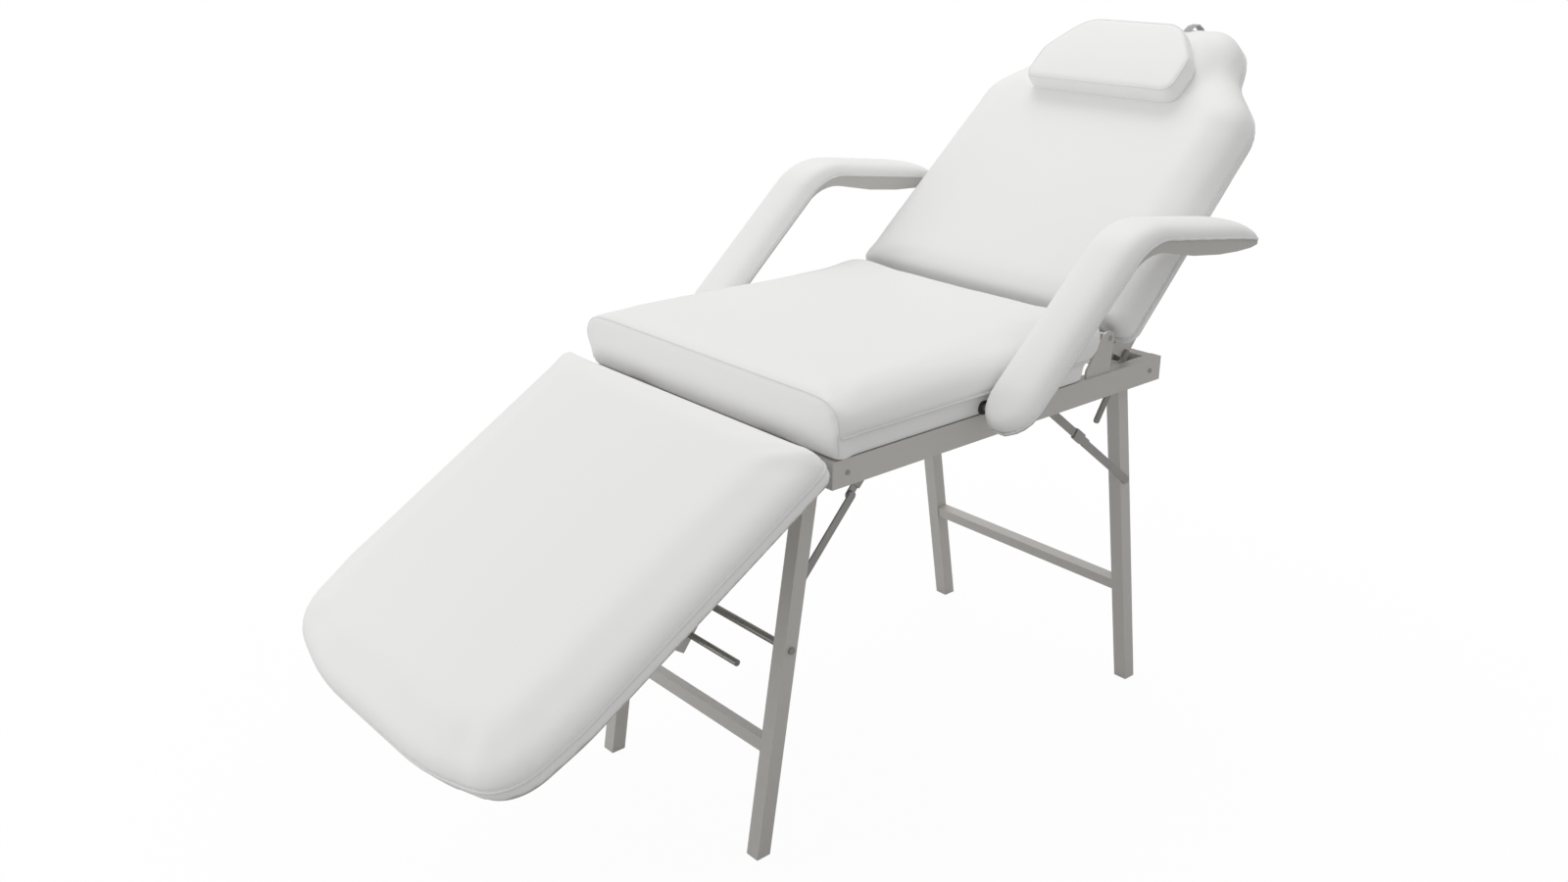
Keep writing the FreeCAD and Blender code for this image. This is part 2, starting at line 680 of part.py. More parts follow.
# Backrest on its tilt, measured along the slope from the hinge
pivot_ahead = max(rear_end - size("back_pivot_inset"), seat_rear + size("back_seat_gap"))
back_pivot = Vector(0, pivot_ahead, rail_top + size("back_pivot_rise"))
back_frame = tilted(back_pivot, size("back_tilt"))
back_outline = mirrored([
    Vector(back_half, size("back_start"), 0),
    Vector(back_half - size("back_taper"), size("back_shoulder"), 0),
    Vector(size("back_neck_width") / 2, size("back_neck"), 0),
    Vector(size("back_head_width") / 2, size("back_length"), 0),
])
back_radii = [30, 85, 75, 78, 78, 75, 85, 30]
deep = size("back_rear_depth")
proud = size("back_front_depth")
back_profile = [(-deep, 4), (-deep + 11, 1), (-deep + 20, 3), (0, 0), (0.42 * proud, 4), (0.68 * proud, 16),
                (0.88 * proud, 46), (proud, 110)]
board_place = back_frame.multiply(Placement(Vector(0, 0, -deep), Rotation()))
node(plate("backrest_board", inset_rounded(back_outline, back_radii, board_inset), "back_board_thickness", [],
           board_place), "backrest_board")
cushion("backrest_cushion", back_outline, back_radii, back_profile, back_frame,
        (size("skirt_wall"), -deep, -deep + size("back_board_thickness")))

# Backrest hinge: gussets on the rails, arms under the board, one bolt through each pair
gusset_low = rail_outer - size("gusset_edge_inset") - size("gusset_thickness")
arm_low = rail_inner - size("back_arm_inset") - size("back_arm_thickness")
eye = size("gusset_eye")
base = size("gusset_base")
pivot_y = back_pivot.y
pivot_z = back_pivot.z
arm_depth = size("back_arm_depth")
strip_low = -deep - size("back_arm_strip")
arm_points = [
    Vector(-eye, -eye, 0), Vector(0.2 * arm_depth, -arm_depth, 0),
    Vector(0.67 * arm_depth, -0.94 * arm_depth, 0), Vector(1.07 * arm_depth, strip_low, 0),
    Vector(size("back_arm_length"), strip_low, 0),
    Vector(size("back_arm_length"), -deep, 0), Vector(eye + 1, -deep, 0), Vector(eye, eye, 0),
    Vector(-eye, eye, 0),
]
arm_radii = [10, 8, 10, 8, 3, 2, 6, 11, 11]
gusset_points = [
    Vector(pivot_y - base + 4, rail_top, 0), Vector(pivot_y + 5, rail_top, 0),
    Vector(pivot_y + eye, pivot_z + eye, 0), Vector(pivot_y - eye, pivot_z + eye, 0),
    Vector(pivot_y - base + 4, rail_top + 12, 0),
]
gusset_radii = [1, 1, 11, 11, 6]
pivot_hole = size("pivot_bolt") + 2 * size("running_clearance")
lever_pin = Vector(0.2 * arm_depth + 6, -arm_depth + 11, 0)
pivot_bolts = []
for side, sign in SIDES.items():
    low = gusset_low if sign > 0 else -gusset_low - size("gusset_thickness")
    node(plate(f"gusset_{side}", rounded(gusset_points, gusset_radii), "gusset_thickness",
               [((pivot_y, pivot_z), pivot_hole)], side_plane(low)), f"hinge_gusset_{side}")
    low = arm_low if sign > 0 else -arm_low - size("back_arm_thickness")
    holes = [((0, 0), pivot_hole)]
    if sign > 0:
        holes.append(((lever_pin.x, lever_pin.y), size("lever_bolt") + 2 * size("running_clearance")))
    node(plate(f"back_arm_{side}", rounded(arm_points, arm_radii), "back_arm_thickness", holes,
               tilted_side(back_frame, low)), f"backrest_arm_{side}")
    bolt_low = arm_low - size("stud_head_rise")
    bolt_high = gusset_low + size("gusset_thickness")
    start = bolt_low if sign > 0 else -bolt_high
    shank = rod(f"pivot_bolt_{side}", "pivot_bolt", f"{bolt_high - bolt_low}",
                along_x(Vector(start, pivot_y, pivot_z)))
    spacer_low = arm_low + size("back_arm_thickness") + size("link_gap")
    spacer = rod(f"pivot_spacer_{side}", "pivot_bolt + 6", f"{gusset_low - spacer_low}",
                 along_x(Vector(spacer_low if sign > 0 else -gusset_low, pivot_y, pivot_z)))
    pivot_bolts.append(fuse(f"pivot_bolt_{side}", shank, spacer))
node(group("pivot_bolts", pivot_bolts), "backrest_pivot_bolts")

# Recline lever on the right-hand backrest arm
lever_frame = back_frame.multiply(Placement(Vector(0, lever_pin.x, lever_pin.y),
                                            Rotation(X_AXIS, 180 + size("lever_slant"))))
lever_low = arm_low + size("back_arm_thickness") + size("link_gap")
node(plate("lever_bar", strap_outline(size("lever_length"), size("lever_width")), "lever_thickness", [],
           tilted_side(lever_frame, lever_low)), "recline_lever")
bolt_start = lever_frame.multVec(Vector(arm_low - size("stud_head_rise"), 0, 0))
node(rod("lever_bolt_rod", "lever_bolt", "back_arm_thickness + link_gap + stud_head_rise",
         along_x(bolt_start)), "lever_pivot_bolt")

# Head pillow and its elastic strap over the top of the head
pillow_base = proud + size("pillow_gap")
pillow_half = size("pillow_width") / 2
pillow_low = size("pillow_start")
pillow_high = pillow_low + size("pillow_depth")
pillow_outline = mirrored([
    Vector(pillow_half, pillow_low, 0),
    Vector(pillow_half, pillow_low + 0.5 * size("pillow_depth"), 0),
    Vector(0.64 * pillow_half, pillow_high, 0),
])
pillow_radii = [20, 42, 62, 62, 42, 20]
soft = size("pillow_thickness")
pillow_profile = [
    (0, 5), (0.18 * soft, 1), (0.45 * soft, 0), (0.72 * soft, 1), (0.92 * soft, 4), (soft, 12),
]
pillow_place = back_frame.multiply(Placement(Vector(0, 0, pillow_base), Rotation()))
cushion("head_pillow", pillow_outline, pillow_radii, pillow_profile, pillow_place)
strap = size("strap_thickness")
lift = size("strap_lift")
strap_high = size("back_length") + lift
gap = size("pillow_gap")
sewn_rise, sewn_in = pillow_profile[1]
strap_inner = [Vector(pillow_high - sewn_in + gap, pillow_base + sewn_rise, 0)]
strap_inner += [Vector(strap_high - drawn_in, height + lift, 0)
                for height, drawn_in in reversed(back_profile) if 0 <= height < proud]
strap_inner += [
    Vector(strap_high, -deep - gap, 0),
    Vector(strap_high - size("strap_reach"), -deep - gap, 0),
]
strap_outer = []
for index, point in enumerate(strap_inner):
    run = strap_inner[min(index + 1, len(strap_inner) - 1)] - strap_inner[max(index - 1, 0)]
    strap_outer.append(point + Vector(-run.y, run.x, 0).normalize() * strap)
strap_points = strap_inner + strap_outer[::-1]
strap_curves = [Part.LineSegment(point, strap_points[(index + 1) % len(strap_points)])
                for index, point in enumerate(strap_points)]
strap_side = size("strap_offset") - size("strap_width") / 2
node(plate("strap", strap_curves, "strap_width", [], tilted_side(back_frame, strap_side)), "pillow_strap")

# Leg rest on its slope; its Y axis runs up the slope to the hinge
leg_pivot = Vector(0, front_end - size("leg_hinge_gap"), rail_top - size("leg_hinge_drop"))
leg_frame = tilted(leg_pivot, size("leg_rest_tilt"))
leg_end = -size("leg_rest_length")
root_half = size("leg_rest_root_width") / 2
leg_half = size("leg_rest_width") / 2
leg_outline = mirrored([
    Vector(size("leg_rest_end_width") / 2, leg_end, 0),
    Vector(leg_half - size("leg_corner_set_in"), leg_end + size("leg_corner_rise"), 0),
    Vector(leg_half, leg_end + size("leg_rest_round"), 0),
    Vector(root_half, -size("leg_rest_start"), 0),
])
leg_radii = [500, 85, 300, 26, 26, 300, 85, 500]
HINGE_SIDE = 3
leg_low = -1.0
leg_high = size("leg_rest_height")
leg_band = size("leg_rest_band")
leg_profile = [(leg_low, 4), (0.45 * leg_band, 1), (leg_band, 3), (leg_band + 12, 0), (0.76 * leg_high, 5),
               (0.88 * leg_high, 20), (0.97 * leg_high, 62), (leg_high, 120)]
leg_board_place = leg_frame.multiply(Placement(Vector(0, 0, leg_low), Rotation()))
node(plate("leg_rest_board", inset_rounded(leg_outline, leg_radii, board_inset), "leg_board_thickness", [],
           leg_board_place), "leg_rest_board")
cushion("leg_rest_cushion", leg_outline, leg_radii, leg_profile, leg_frame,
        (size("skirt_wall"), leg_low, leg_low + size("leg_board_thickness")), HINGE_SIDE)

# Two leaf hinges join the leg rest to the front cross tube
leaf = size("hinge_leaf")
third = size("hinge_width") / 3
fixed_leaves = []
moving_leaves = []
pins = []
for side, sign in SIDES.items():
    middle_x = sign * size("hinge_spread") / 2
    left_x = middle_x - size("hinge_width") / 2
    pin_hole = rod(f"hinge_hole_{side}", "hinge_pin + 2 * running_clearance", "hinge_width",
                   along_x(Vector(left_x, leg_pivot.y, leg_pivot.z)))
    barrel = rod(f"fixed_barrel_{side}", "hinge_knuckle", "hinge_width / 3 - 2 * hinge_play",
                 along_x(Vector(left_x + third + size("hinge_play"), leg_pivot.y, leg_pivot.z)))
    tab = box(f"fixed_tab_{side}", "hinge_width / 3 - 2 * hinge_play", "hinge_leaf", "rail_height * 0.75",
              Placement(Vector(left_x + third + size("hinge_play"), front_end - leaf,
                               leg_pivot.z - 0.75 * size("rail_height")), Rotation()))
    fixed_leaves.append(cut(f"fixed_leaf_{side}", fuse(f"fixed_leaf_{side}", barrel, tab), pin_hole))
    knuckles = [rod(f"moving_barrel_{side}_{number}", "hinge_knuckle", "hinge_width / 3",
                    along_x(Vector(left_x + start, leg_pivot.y, leg_pivot.z)))
                for number, start in enumerate((0, 2 * third))]
    flaps = [box(f"moving_flap_{side}_{number}", "hinge_width / 3", "hinge_leaf_length", "hinge_leaf",
                 leg_frame.multiply(Placement(Vector(left_x + start, -size("hinge_leaf_length"), leg_low - leaf),
                                              Rotation())))
             for number, start in enumerate((0, 2 * third))]
    bridge = box(f"moving_bridge_{side}", "hinge_width", "hinge_leaf_length - 3 * hinge_knuckle / 2", "hinge_leaf",
                 leg_frame.multiply(Placement(Vector(left_x, -size("hinge_leaf_length"), leg_low - leaf),
                                              Rotation())))
    moving_hole = rod(f"moving_hole_{side}", "hinge_pin", "hinge_width",
                      along_x(Vector(left_x, leg_pivot.y, leg_pivot.z)))
    moving_leaves.append(cut(f"moving_leaf_{side}",
                             fuse(f"moving_leaf_{side}", *knuckles, *flaps, bridge), moving_hole))
    pins.append(rod(f"hinge_pin_{side}", "hinge_pin", "hinge_width",
                    along_x(Vector(left_x, leg_pivot.y, leg_pivot.z))))
node(group("fixed_leaves", fixed_leaves), "leg_rest_hinge_fixed")
node(group("moving_leaves", moving_leaves), "leg_rest_hinge_moving")
node(group("hinge_pins", pins), "leg_rest_hinge_pins")

# Prop between the leg rest and the rest bar, with its notch, ears, bolt and lift handle
prop_pivot = leg_frame.multVec(Vector(0, -size("prop_pivot_along"), -size("prop_pivot_depth")))
bar_radius = size("rest_bar_diameter") / 2
strut = bar_place - prop_pivot
strut_length = strut.Length
strut_angle = math.degrees(math.atan2(strut.z, strut.y))
prop_frame = tilted(prop_pivot, strut_angle)
notch = bar_radius + size("notch_clearance")
reach = size("prop_plate_reach")
eye = size("prop_eye")
wide = size("prop_plate_width")
lower_wall = math.radians(-15 - strut_angle)
upper_wall = math.radians(68 - strut_angle)
bar_centre = Vector(strut_length, 0, 0)


def off_bar(angle, distance):
    """A point at an angle and distance from the rest bar's centre, in the prop's own plane."""
    return bar_centre + Vector(math.cos(angle), math.sin(angle), 0) * distance


lower_seat = off_bar(lower_wall - math.pi / 2, notch)
upper_seat = off_bar(upper_wall + math.pi / 2, notch)
seat_middle = off_bar((lower_wall - math.pi / 2 + upper_wall + math.pi / 2) / 2 + math.pi, notch)
lower_lip = lower_seat + Vector(math.cos(lower_wall), math.sin(lower_wall), 0) * bar_radius
upper_lip = upper_seat + Vector(math.cos(upper_wall), math.sin(upper_wall), 0) * bar_radius
tip = lower_lip + Vector(math.cos(-math.pi / 2 - 0.05), math.sin(-math.pi / 2 - 0.05), 0) * reach
heel = tip - Vector(wide, 0, 0)
prop_curves = [
    Part.LineSegment(upper_lip, upper_seat), Part.Arc(upper_seat, seat_middle, lower_seat),
    Part.LineSegment(lower_seat, lower_lip), Part.LineSegment(lower_lip, tip), Part.LineSegment(tip, heel),
    Part.LineSegment(heel, Vector(strut_length / 2, -eye, 0)),
    Part.LineSegment(Vector(strut_length / 2, -eye, 0), Vector(0, -eye, 0)),
    Part.Arc(Vector(0, -eye, 0), Vector(-eye, 0, 0), Vector(0, eye, 0)),
    Part.LineSegment(Vector(0, eye, 0), upper_lip),
]
handle_spot = lower_lip + (tip - lower_lip) * 0.62 - Vector(size("handle_diameter"), 0, 0)
prop_holes = [((0, 0), size("prop_bolt") + 2 * size("running_clearance")),
              ((handle_spot.x, handle_spot.y), size("handle_diameter"))]
half_prop = size("prop_thickness") / 2
node(plate("prop_plate", prop_curves, "prop_thickness", prop_holes, tilted_side(prop_frame, -half_prop)),
     "prop_strut")
handle_start = prop_frame.multVec(Vector(0, handle_spot.x, handle_spot.y)) - X_AXIS * size("handle_tail")
handle_rod = rod("prop_handle_rod", "handle_diameter", "handle_reach + handle_tail", along_x(handle_start))
node(handle_rod, "prop_handle")
ear_low = half_prop + size("prop_ear_gap")
ears = []
for side, sign in SIDES.items():
    low = ear_low if sign > 0 else -ear_low - size("prop_ear")
    ear_outline = rounded([Vector(-eye, -eye, 0), Vector(eye, -eye, 0),
                           Vector(eye, size("prop_pivot_depth") + leg_low, 0),
                           Vector(-eye, size("prop_pivot_depth") + leg_low, 0)], [12, 12, 1, 1])
    ear_frame = leg_frame.multiply(Placement(Vector(0, -size("prop_pivot_along"), -size("prop_pivot_depth")),
                                             Rotation()))
    ears.append(plate(f"prop_ear_{side}", ear_outline, "prop_ear", [((0, 0), size("prop_bolt"))],
                      tilted_side(ear_frame, low)))
node(group("prop_ears", ears), "prop_bracket")
bolt_half = ear_low + size("prop_ear") + size("stud_head_rise")
node(rod("prop_bolt_rod", "prop_bolt", f"{2 * bolt_half}", along_x(prop_pivot - X_AXIS * bolt_half)),
     "prop_pivot_bolt")

# Armrests: a bent board and its pad on a plate whose pegs push into bushes in the seat's side
widest = max(seat_half, base_half + size("bush_flange_rise"), back_half, rail_outer + size("screw_rise"))
arm_inner = widest + size("arm_gap")
corner = Vector(0, front_end + size("arm_corner_inset"), rail_top + size("arm_corner_rise"))
slope = math.radians(size("arm_slope"))
droop = math.radians(size("arm_droop"))
down_path = Vector(0, -math.cos(slope), -math.sin(slope))
back_path = Vector(0, math.cos(droop), -math.sin(droop))
turn = slope + droop
tangent = size("arm_bend") * math.tan(turn / 2)
bend_start = corner + down_path * tangent
bend_end = corner + back_path * tangent
bend_centre = bend_start + Vector(0, math.sin(slope), -math.cos(slope)) * size("arm_bend")
arm_low_end = corner + down_path * size("arm_lower_run")
arm_high_end = corner + back_path * size("arm_upper_run")

LOWER_SHARES = (0.0, 0.01, 0.03, 0.06, 0.1, 0.16, 0.5, 1.0)


def arm_stations():
    """Places along the armrest's underside: the point, the path's angle, the keel's depth and the fullness."""
    stations = []
    for share in LOWER_SHARES:
        stations.append((arm_low_end + (bend_start - arm_low_end) * share, slope, 0.0, 1.0))
    arc = size("arm_bend") * turn
    upper = arm_high_end.distanceToPoint(bend_end)

    def keel(run):
        return size("arm_keel") * math.sin(math.pi * run / (arc + upper))

    steps = 6
    for step in range(1, steps):
        angle = slope - turn * step / steps
        spot = bend_centre + Vector(0, -math.sin(angle), math.cos(angle)) * size("arm_bend")
        stations.append((spot, angle, keel(arc * step / steps), 1.0))
    for share in (0.0, 0.25, 0.5, 0.68, 0.82, 0.92, 0.975, 1.0):
        left = upper * (1 - share)
        full = 0.12 + 0.88 * math.sin(min(left / size("arm_taper"), 1.0) * math.pi / 2)
        place = bend_end + (arm_high_end - bend_end) * share
        stations.append((place, -droop, keel(arc + upper * share), full))
    return stations


def arm_section(place, angle, half, low, high, crown):
    """A pad section square to the path: flat below, round at the sides and crowned on top."""
    up = Vector(0, -math.sin(angle), math.cos(angle))

    def at(x, rise):
        return place + X_AXIS * x + up * rise

    side_high = low + 0.55 * (high - low)
    round_high = high - 0.25 * (high - side_high)
    foot, waist, cheek, shoulder = (share * half for share in (0.93, 0.975, 0.86, 0.62))
    curves = [
        Part.LineSegment(at(-foot, low), at(foot, low)),
        Part.Arc(at(foot, low), at(half, low + 0.4 * (side_high - low)), at(waist, side_high)),
        Part.Arc(at(waist, side_high), at(cheek, round_high), at(shoulder, high)),
        Part.Arc(at(shoulder, high), at(0, high + crown), at(-shoulder, high)),
        Part.Arc(at(-shoulder, high), at(-cheek, round_high), at(-waist, side_high)),
        Part.Arc(at(-waist, side_high), at(-half, low + 0.4 * (side_high - low)), at(-foot, low)),
    ]
    return Part.Wire([curve.toShape() for curve in curves])


def board_section(place, angle, half, keel, thickness):
    """A flat board section square to the path, with its keel below."""
    up = Vector(0, -math.sin(angle), math.cos(angle))
    corners = [place + X_AXIS * x + up * rise
               for x, rise in ((-half, -keel), (half, -keel), (half, thickness), (-half, thickness))]
    return Part.makePolygon(corners + corners[:1])


arm_half = size("arm_width") / 2
arm_middle = arm_inner + arm_half
stations = arm_stations()
last = len(stations) - 1
ROUND_END = {last: 0.2, last - 1: 0.52, last - 2: 0.8, last - 3: 0.95}
widths = []
for index in range(len(stations)):
    reach = min(stations[index][0].distanceToPoint(arm_low_end) / size("arm_tongue"), 1.0)
    tongue = math.sqrt(max(1 - (1 - reach) ** 2, 0.05))
    widths.append(arm_half * min(tongue, ROUND_END.get(index, 1.0)))
board_thick = size("arm_board_thickness")
bushes = []
for side, sign in SIDES.items():
    shift = X_AXIS * (sign * arm_middle)
    board_wires = [board_section(place + shift, angle, 0.955 * half, keel, board_thick * full)
                   for (place, angle, keel, full), half in zip(stations, widths)]
    board = doc.addObject("Part::Feature", f"arm_board_{side}_solid")
    board.Shape = Part.makeLoft(board_wires, True, True)
    node(board, f"arm_board_{side}")
    pad_wires = []
    for (place, angle, keel, full), half in zip(stations, widths):
        thinner = full * (0.55 + 0.45 * half / arm_half)
        top = board_thick * full + size("arm_pad_height") * 0.8 * thinner
        crown = size("arm_pad_height") * 0.2 * thinner
        pad_wires.append(arm_section(place + shift, angle, half, board_thick * full, top, crown))
    pad = doc.addObject("Part::Feature", f"arm_pad_{side}_solid")
    pad.Shape = Part.makeLoft(pad_wires, True, True)
    node(pad, f"arm_pad_{side}")
    # The plate stands under the board and carries two pegs
    plate_low = arm_inner + size("arm_plate_inset")
    low = plate_low if sign > 0 else -plate_low - size("arm_plate_thickness")
    lug = size("peg_diameter") / 2 + 6

    def under_board(y):
        return corner.z + (y - corner.y) * math.tan(slope)

    near_y = peg_spots[0] - lug
    far_y = peg_spots[1] + lug
    tab_points = [Vector(near_y, peg_z - lug, 0), Vector(far_y, peg_z - lug, 0),
                  Vector(far_y, under_board(far_y), 0), Vector(near_y, under_board(near_y), 0)]
    tab = plate(f"arm_plate_{side}", rounded(tab_points, [5, 8, 1, 1]), "arm_plate_thickness", [],
                side_plane(low))
    pegs = []
    peg_low = plate_low + size("arm_plate_thickness") - size("peg_length")
    for number, spot in enumerate(peg_spots):
        start = peg_low if sign > 0 else -peg_low - size("peg_length")
        pegs.append(rod(f"peg_{side}_{number}", "peg_diameter", "peg_length",
                        along_x(Vector(start, spot, peg_z))))
    node(fuse(f"arm_plate_{side}", tab, *pegs), f"arm_plate_{side}")
    # Bushes with a rim sit in the side of the seat base
    for number, spot in enumerate(peg_spots):
        start = base_half - bush_length if sign > 0 else -base_half
        sleeve = rod(f"bush_{side}_{number}", bush_outer, f"{bush_length}", along_x(Vector(start, spot, peg_z)))
        rim_start = base_half if sign > 0 else -base_half - size("bush_flange_rise")
        rim = rod(f"bush_rim_{side}_{number}", "bush_flange", "bush_flange_rise",
                  along_x(Vector(rim_start, spot, peg_z)))
        start = base_half - bush_length if sign > 0 else -base_half - size("bush_flange_rise")
        bore = rod(f"bush_bore_{side}_{number}", "peg_diameter + 2 * peg_clearance",
                   f"{bush_length} + bush_flange_rise", along_x(Vector(start, spot, peg_z)))
        bushes.append(cut(f"bush_{side}_{number}", fuse(f"bush_{side}_{number}", sleeve, rim), bore))
node(group("bushes", bushes), "arm_bushes")

# Build, test and write every piece
doc.recompute()
for part in doc.Objects:
    if "Invalid" in part.State or "Error" in part.State:
        raise RuntimeError(f"{part.Label} failed: {part.State}")
os.makedirs("parts", exist_ok=True)
for label, part in nodes.items():
    if part.Shape.isNull() or not part.Shape.isValid():
        raise RuntimeError(f"{label} has no valid shape")
for label, part in nodes.items():
    part.Shape.exportStep(f"parts/{label}.step")
print("joints:", "back", back_pivot, "lever", lever_frame.Base, "leg rest", leg_pivot, "prop", prop_pivot)
print("axles:", front["axle"], LEG_PAIRS["rear"]["axle"], "bar", bar_place)
whole = FreeCAD.BoundBox()
for part in nodes.values():
    whole.add(part.Shape.optimalBoundingBox(False))
print("nodes:", len(nodes), "bounds:", whole)
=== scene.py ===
import json
import logging
import math
from dataclasses import dataclass, field
from enum import Enum
from typing import Callable, Iterable, Optional, Sequence

import bmesh
import bpy
import numpy as np
from mathutils import Matrix, Vector
from mathutils.bvhtree import BVHTree
from mathutils.kdtree import KDTree


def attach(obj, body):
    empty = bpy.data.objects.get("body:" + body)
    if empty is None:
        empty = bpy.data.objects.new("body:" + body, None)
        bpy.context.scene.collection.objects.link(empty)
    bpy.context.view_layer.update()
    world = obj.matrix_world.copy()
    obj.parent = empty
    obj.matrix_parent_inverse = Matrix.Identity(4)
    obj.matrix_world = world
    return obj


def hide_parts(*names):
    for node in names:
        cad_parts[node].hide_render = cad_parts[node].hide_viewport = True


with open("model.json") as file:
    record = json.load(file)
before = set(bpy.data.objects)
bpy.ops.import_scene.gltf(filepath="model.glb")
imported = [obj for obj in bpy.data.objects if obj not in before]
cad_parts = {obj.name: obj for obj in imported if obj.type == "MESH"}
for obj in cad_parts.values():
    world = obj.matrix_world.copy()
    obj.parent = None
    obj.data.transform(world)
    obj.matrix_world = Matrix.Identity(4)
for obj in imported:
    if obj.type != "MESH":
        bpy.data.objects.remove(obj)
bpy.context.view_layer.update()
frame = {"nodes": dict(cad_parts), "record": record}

log = logging.getLogger("treatment_chair")

Loop = list[Vector]
# X, Y and radius of an outline's corner
Corner = tuple[float, float, float]
# Height and how far an outline is drawn in there, in millimetres
Level = tuple[float, float]
# A welt's label, its height and how far it is drawn in, in millimetres, and its radius
WeltLine = tuple[str, float, float, float]


class Side(Enum):
    """The two sides of the chair, with the direction of each along X."""

    LEFT = -1
    RIGHT = 1

    @property
    def label(self) -> str:
        """The side's name as the nodes spell it."""
        return self.name.lower()


# Shared shading effects

def shading_group(name: str, inputs: dict[str, float], outputs: dict[str, str]) -> bpy.types.NodeTree:
    """Start a shader node group with float inputs and typed outputs.

    Args:
        name: name of the group.
        inputs: default value of each float input.
        outputs: socket type of each output.

    Returns:
        The empty node group with its interface.
    """
    tree = bpy.data.node_groups.new(name, "ShaderNodeTree")
    for label, default in inputs.items():
        socket = tree.interface.new_socket(label, in_out="INPUT", socket_type="NodeSocketFloat")
        socket.default_value = default
    for label, kind in outputs.items():
        tree.interface.new_socket(label, in_out="OUTPUT", socket_type=kind)
    tree.nodes.new("NodeGroupInput").name = "in"
    tree.nodes.new("NodeGroupOutput").name = "out"
    return tree


def add_node(tree: bpy.types.NodeTree, kind: str, **settings: object) -> bpy.types.Node:
    """Add a node and set its properties or input defaults.

    Args:
        tree: the tree to add to.
        kind: the node's type.
        settings: properties of the node, or default values of its inputs, with underscores for spaces.

    Returns:
        The new node.
    """
    node = tree.nodes.new(kind)
    for key, value in settings.items():
        if hasattr(node, key):
            setattr(node, key, value)
        else:
            node.inputs[key.replace("_", " ")].default_value = value
    return node


def leather_grain_group() -> bpy.types.NodeTree:
    """Grain of coated fabric: fine pebbles, soft waves, and where it is slightly duller.

    Returns:
        A node group with Normal, Shade and Roughness outputs.
    """
    tree = shading_group("leather_grain", {"Pebble": 900.0, "Depth": 0.1, "Wave": 0.25},
                         {"Normal": "NodeSocketVector", "Shade": "NodeSocketFloat",
                          "Roughness": "NodeSocketFloat"})
    link = tree.links.new
    source, result = tree.nodes["in"], tree.nodes["out"]
    place = add_node(tree, "ShaderNodeTexCoord")
    pebbles = add_node(tree, "ShaderNodeTexVoronoi", feature="SMOOTH_F1")
    link(place.outputs["Object"], pebbles.inputs["Vector"])
    link(source.outputs["Pebble"], pebbles.inputs["Scale"])
    waves = add_node(tree, "ShaderNodeTexNoise", Scale=9.0, Detail=3.0)
    link(place.outputs["Object"], waves.inputs["Vector"])
    wave_bump = add_node(tree, "ShaderNodeBump", Distance=0.004)
    link(source.outputs["Wave"], wave_bump.inputs["Strength"])
    link(waves.outputs["Fac"], wave_bump.inputs["Height"])
    bump = add_node(tree, "ShaderNodeBump", Distance=0.0004)
    link(source.outputs["Depth"], bump.inputs["Strength"])
    link(pebbles.outputs["Distance"], bump.inputs["Height"])
    link(wave_bump.outputs["Normal"], bump.inputs["Normal"])
    link(bump.outputs["Normal"], result.inputs["Normal"])
    blotch = add_node(tree, "ShaderNodeTexNoise", Scale=5.5, Detail=5.0, Roughness=0.6)
    link(place.outputs["Object"], blotch.inputs["Vector"])
    shade = add_node(tree, "ShaderNodeMapRange", From_Min=0.3, From_Max=0.7)
    link(blotch.outputs["Fac"], shade.inputs["Value"])
    link(shade.outputs["Result"], result.inputs["Shade"])
    dull = add_node(tree, "ShaderNodeMapRange", To_Min=0.4, To_Max=0.52)
    link(blotch.outputs["Fac"], dull.inputs["Value"])
    link(dull.outputs["Result"], result.inputs["Roughness"])
    return tree


def coat_texture_group() -> bpy.types.NodeTree:
    """Powder coat: orange-peel bumps, faint clouding and a mask of rubbed edges.

    Returns:
        A node group with Normal, Shade, Rubbed and Roughness outputs.
    """
    tree = shading_group("coat_texture", {"Peel": 650.0, "Depth": 0.12},
                         {"Normal": "NodeSocketVector", "Shade": "NodeSocketFloat",
                          "Rubbed": "NodeSocketFloat", "Roughness": "NodeSocketFloat"})
    link = tree.links.new
    source, result = tree.nodes["in"], tree.nodes["out"]
    place = add_node(tree, "ShaderNodeTexCoord")
    peel = add_node(tree, "ShaderNodeTexNoise", Detail=2.0)
    link(place.outputs["Object"], peel.inputs["Vector"])
    link(source.outputs["Peel"], peel.inputs["Scale"])
    bump = add_node(tree, "ShaderNodeBump", Distance=0.0005)
    link(source.outputs["Depth"], bump.inputs["Strength"])
    link(peel.outputs["Fac"], bump.inputs["Height"])
    link(bump.outputs["Normal"], result.inputs["Normal"])
    cloud = add_node(tree, "ShaderNodeTexNoise", Scale=14.0, Detail=6.0)
    link(place.outputs["Object"], cloud.inputs["Vector"])
    link(cloud.outputs["Fac"], result.inputs["Shade"])
    edge = add_node(tree, "ShaderNodeNewGeometry")
    worn = add_node(tree, "ShaderNodeMapRange", From_Min=0.56, From_Max=0.66)
    link(edge.outputs["Pointiness"], worn.inputs["Value"])
    patch = add_node(tree, "ShaderNodeMath", operation="MULTIPLY")
    link(worn.outputs["Result"], patch.inputs[0])
    link(cloud.outputs["Fac"], patch.inputs[1])
    link(patch.outputs["Value"], result.inputs["Rubbed"])
    rough = add_node(tree, "ShaderNodeMapRange", To_Min=0.38, To_Max=0.55)
    link(cloud.outputs["Fac"], rough.inputs["Value"])
    link(rough.outputs["Result"], result.inputs["Roughness"])
    return tree


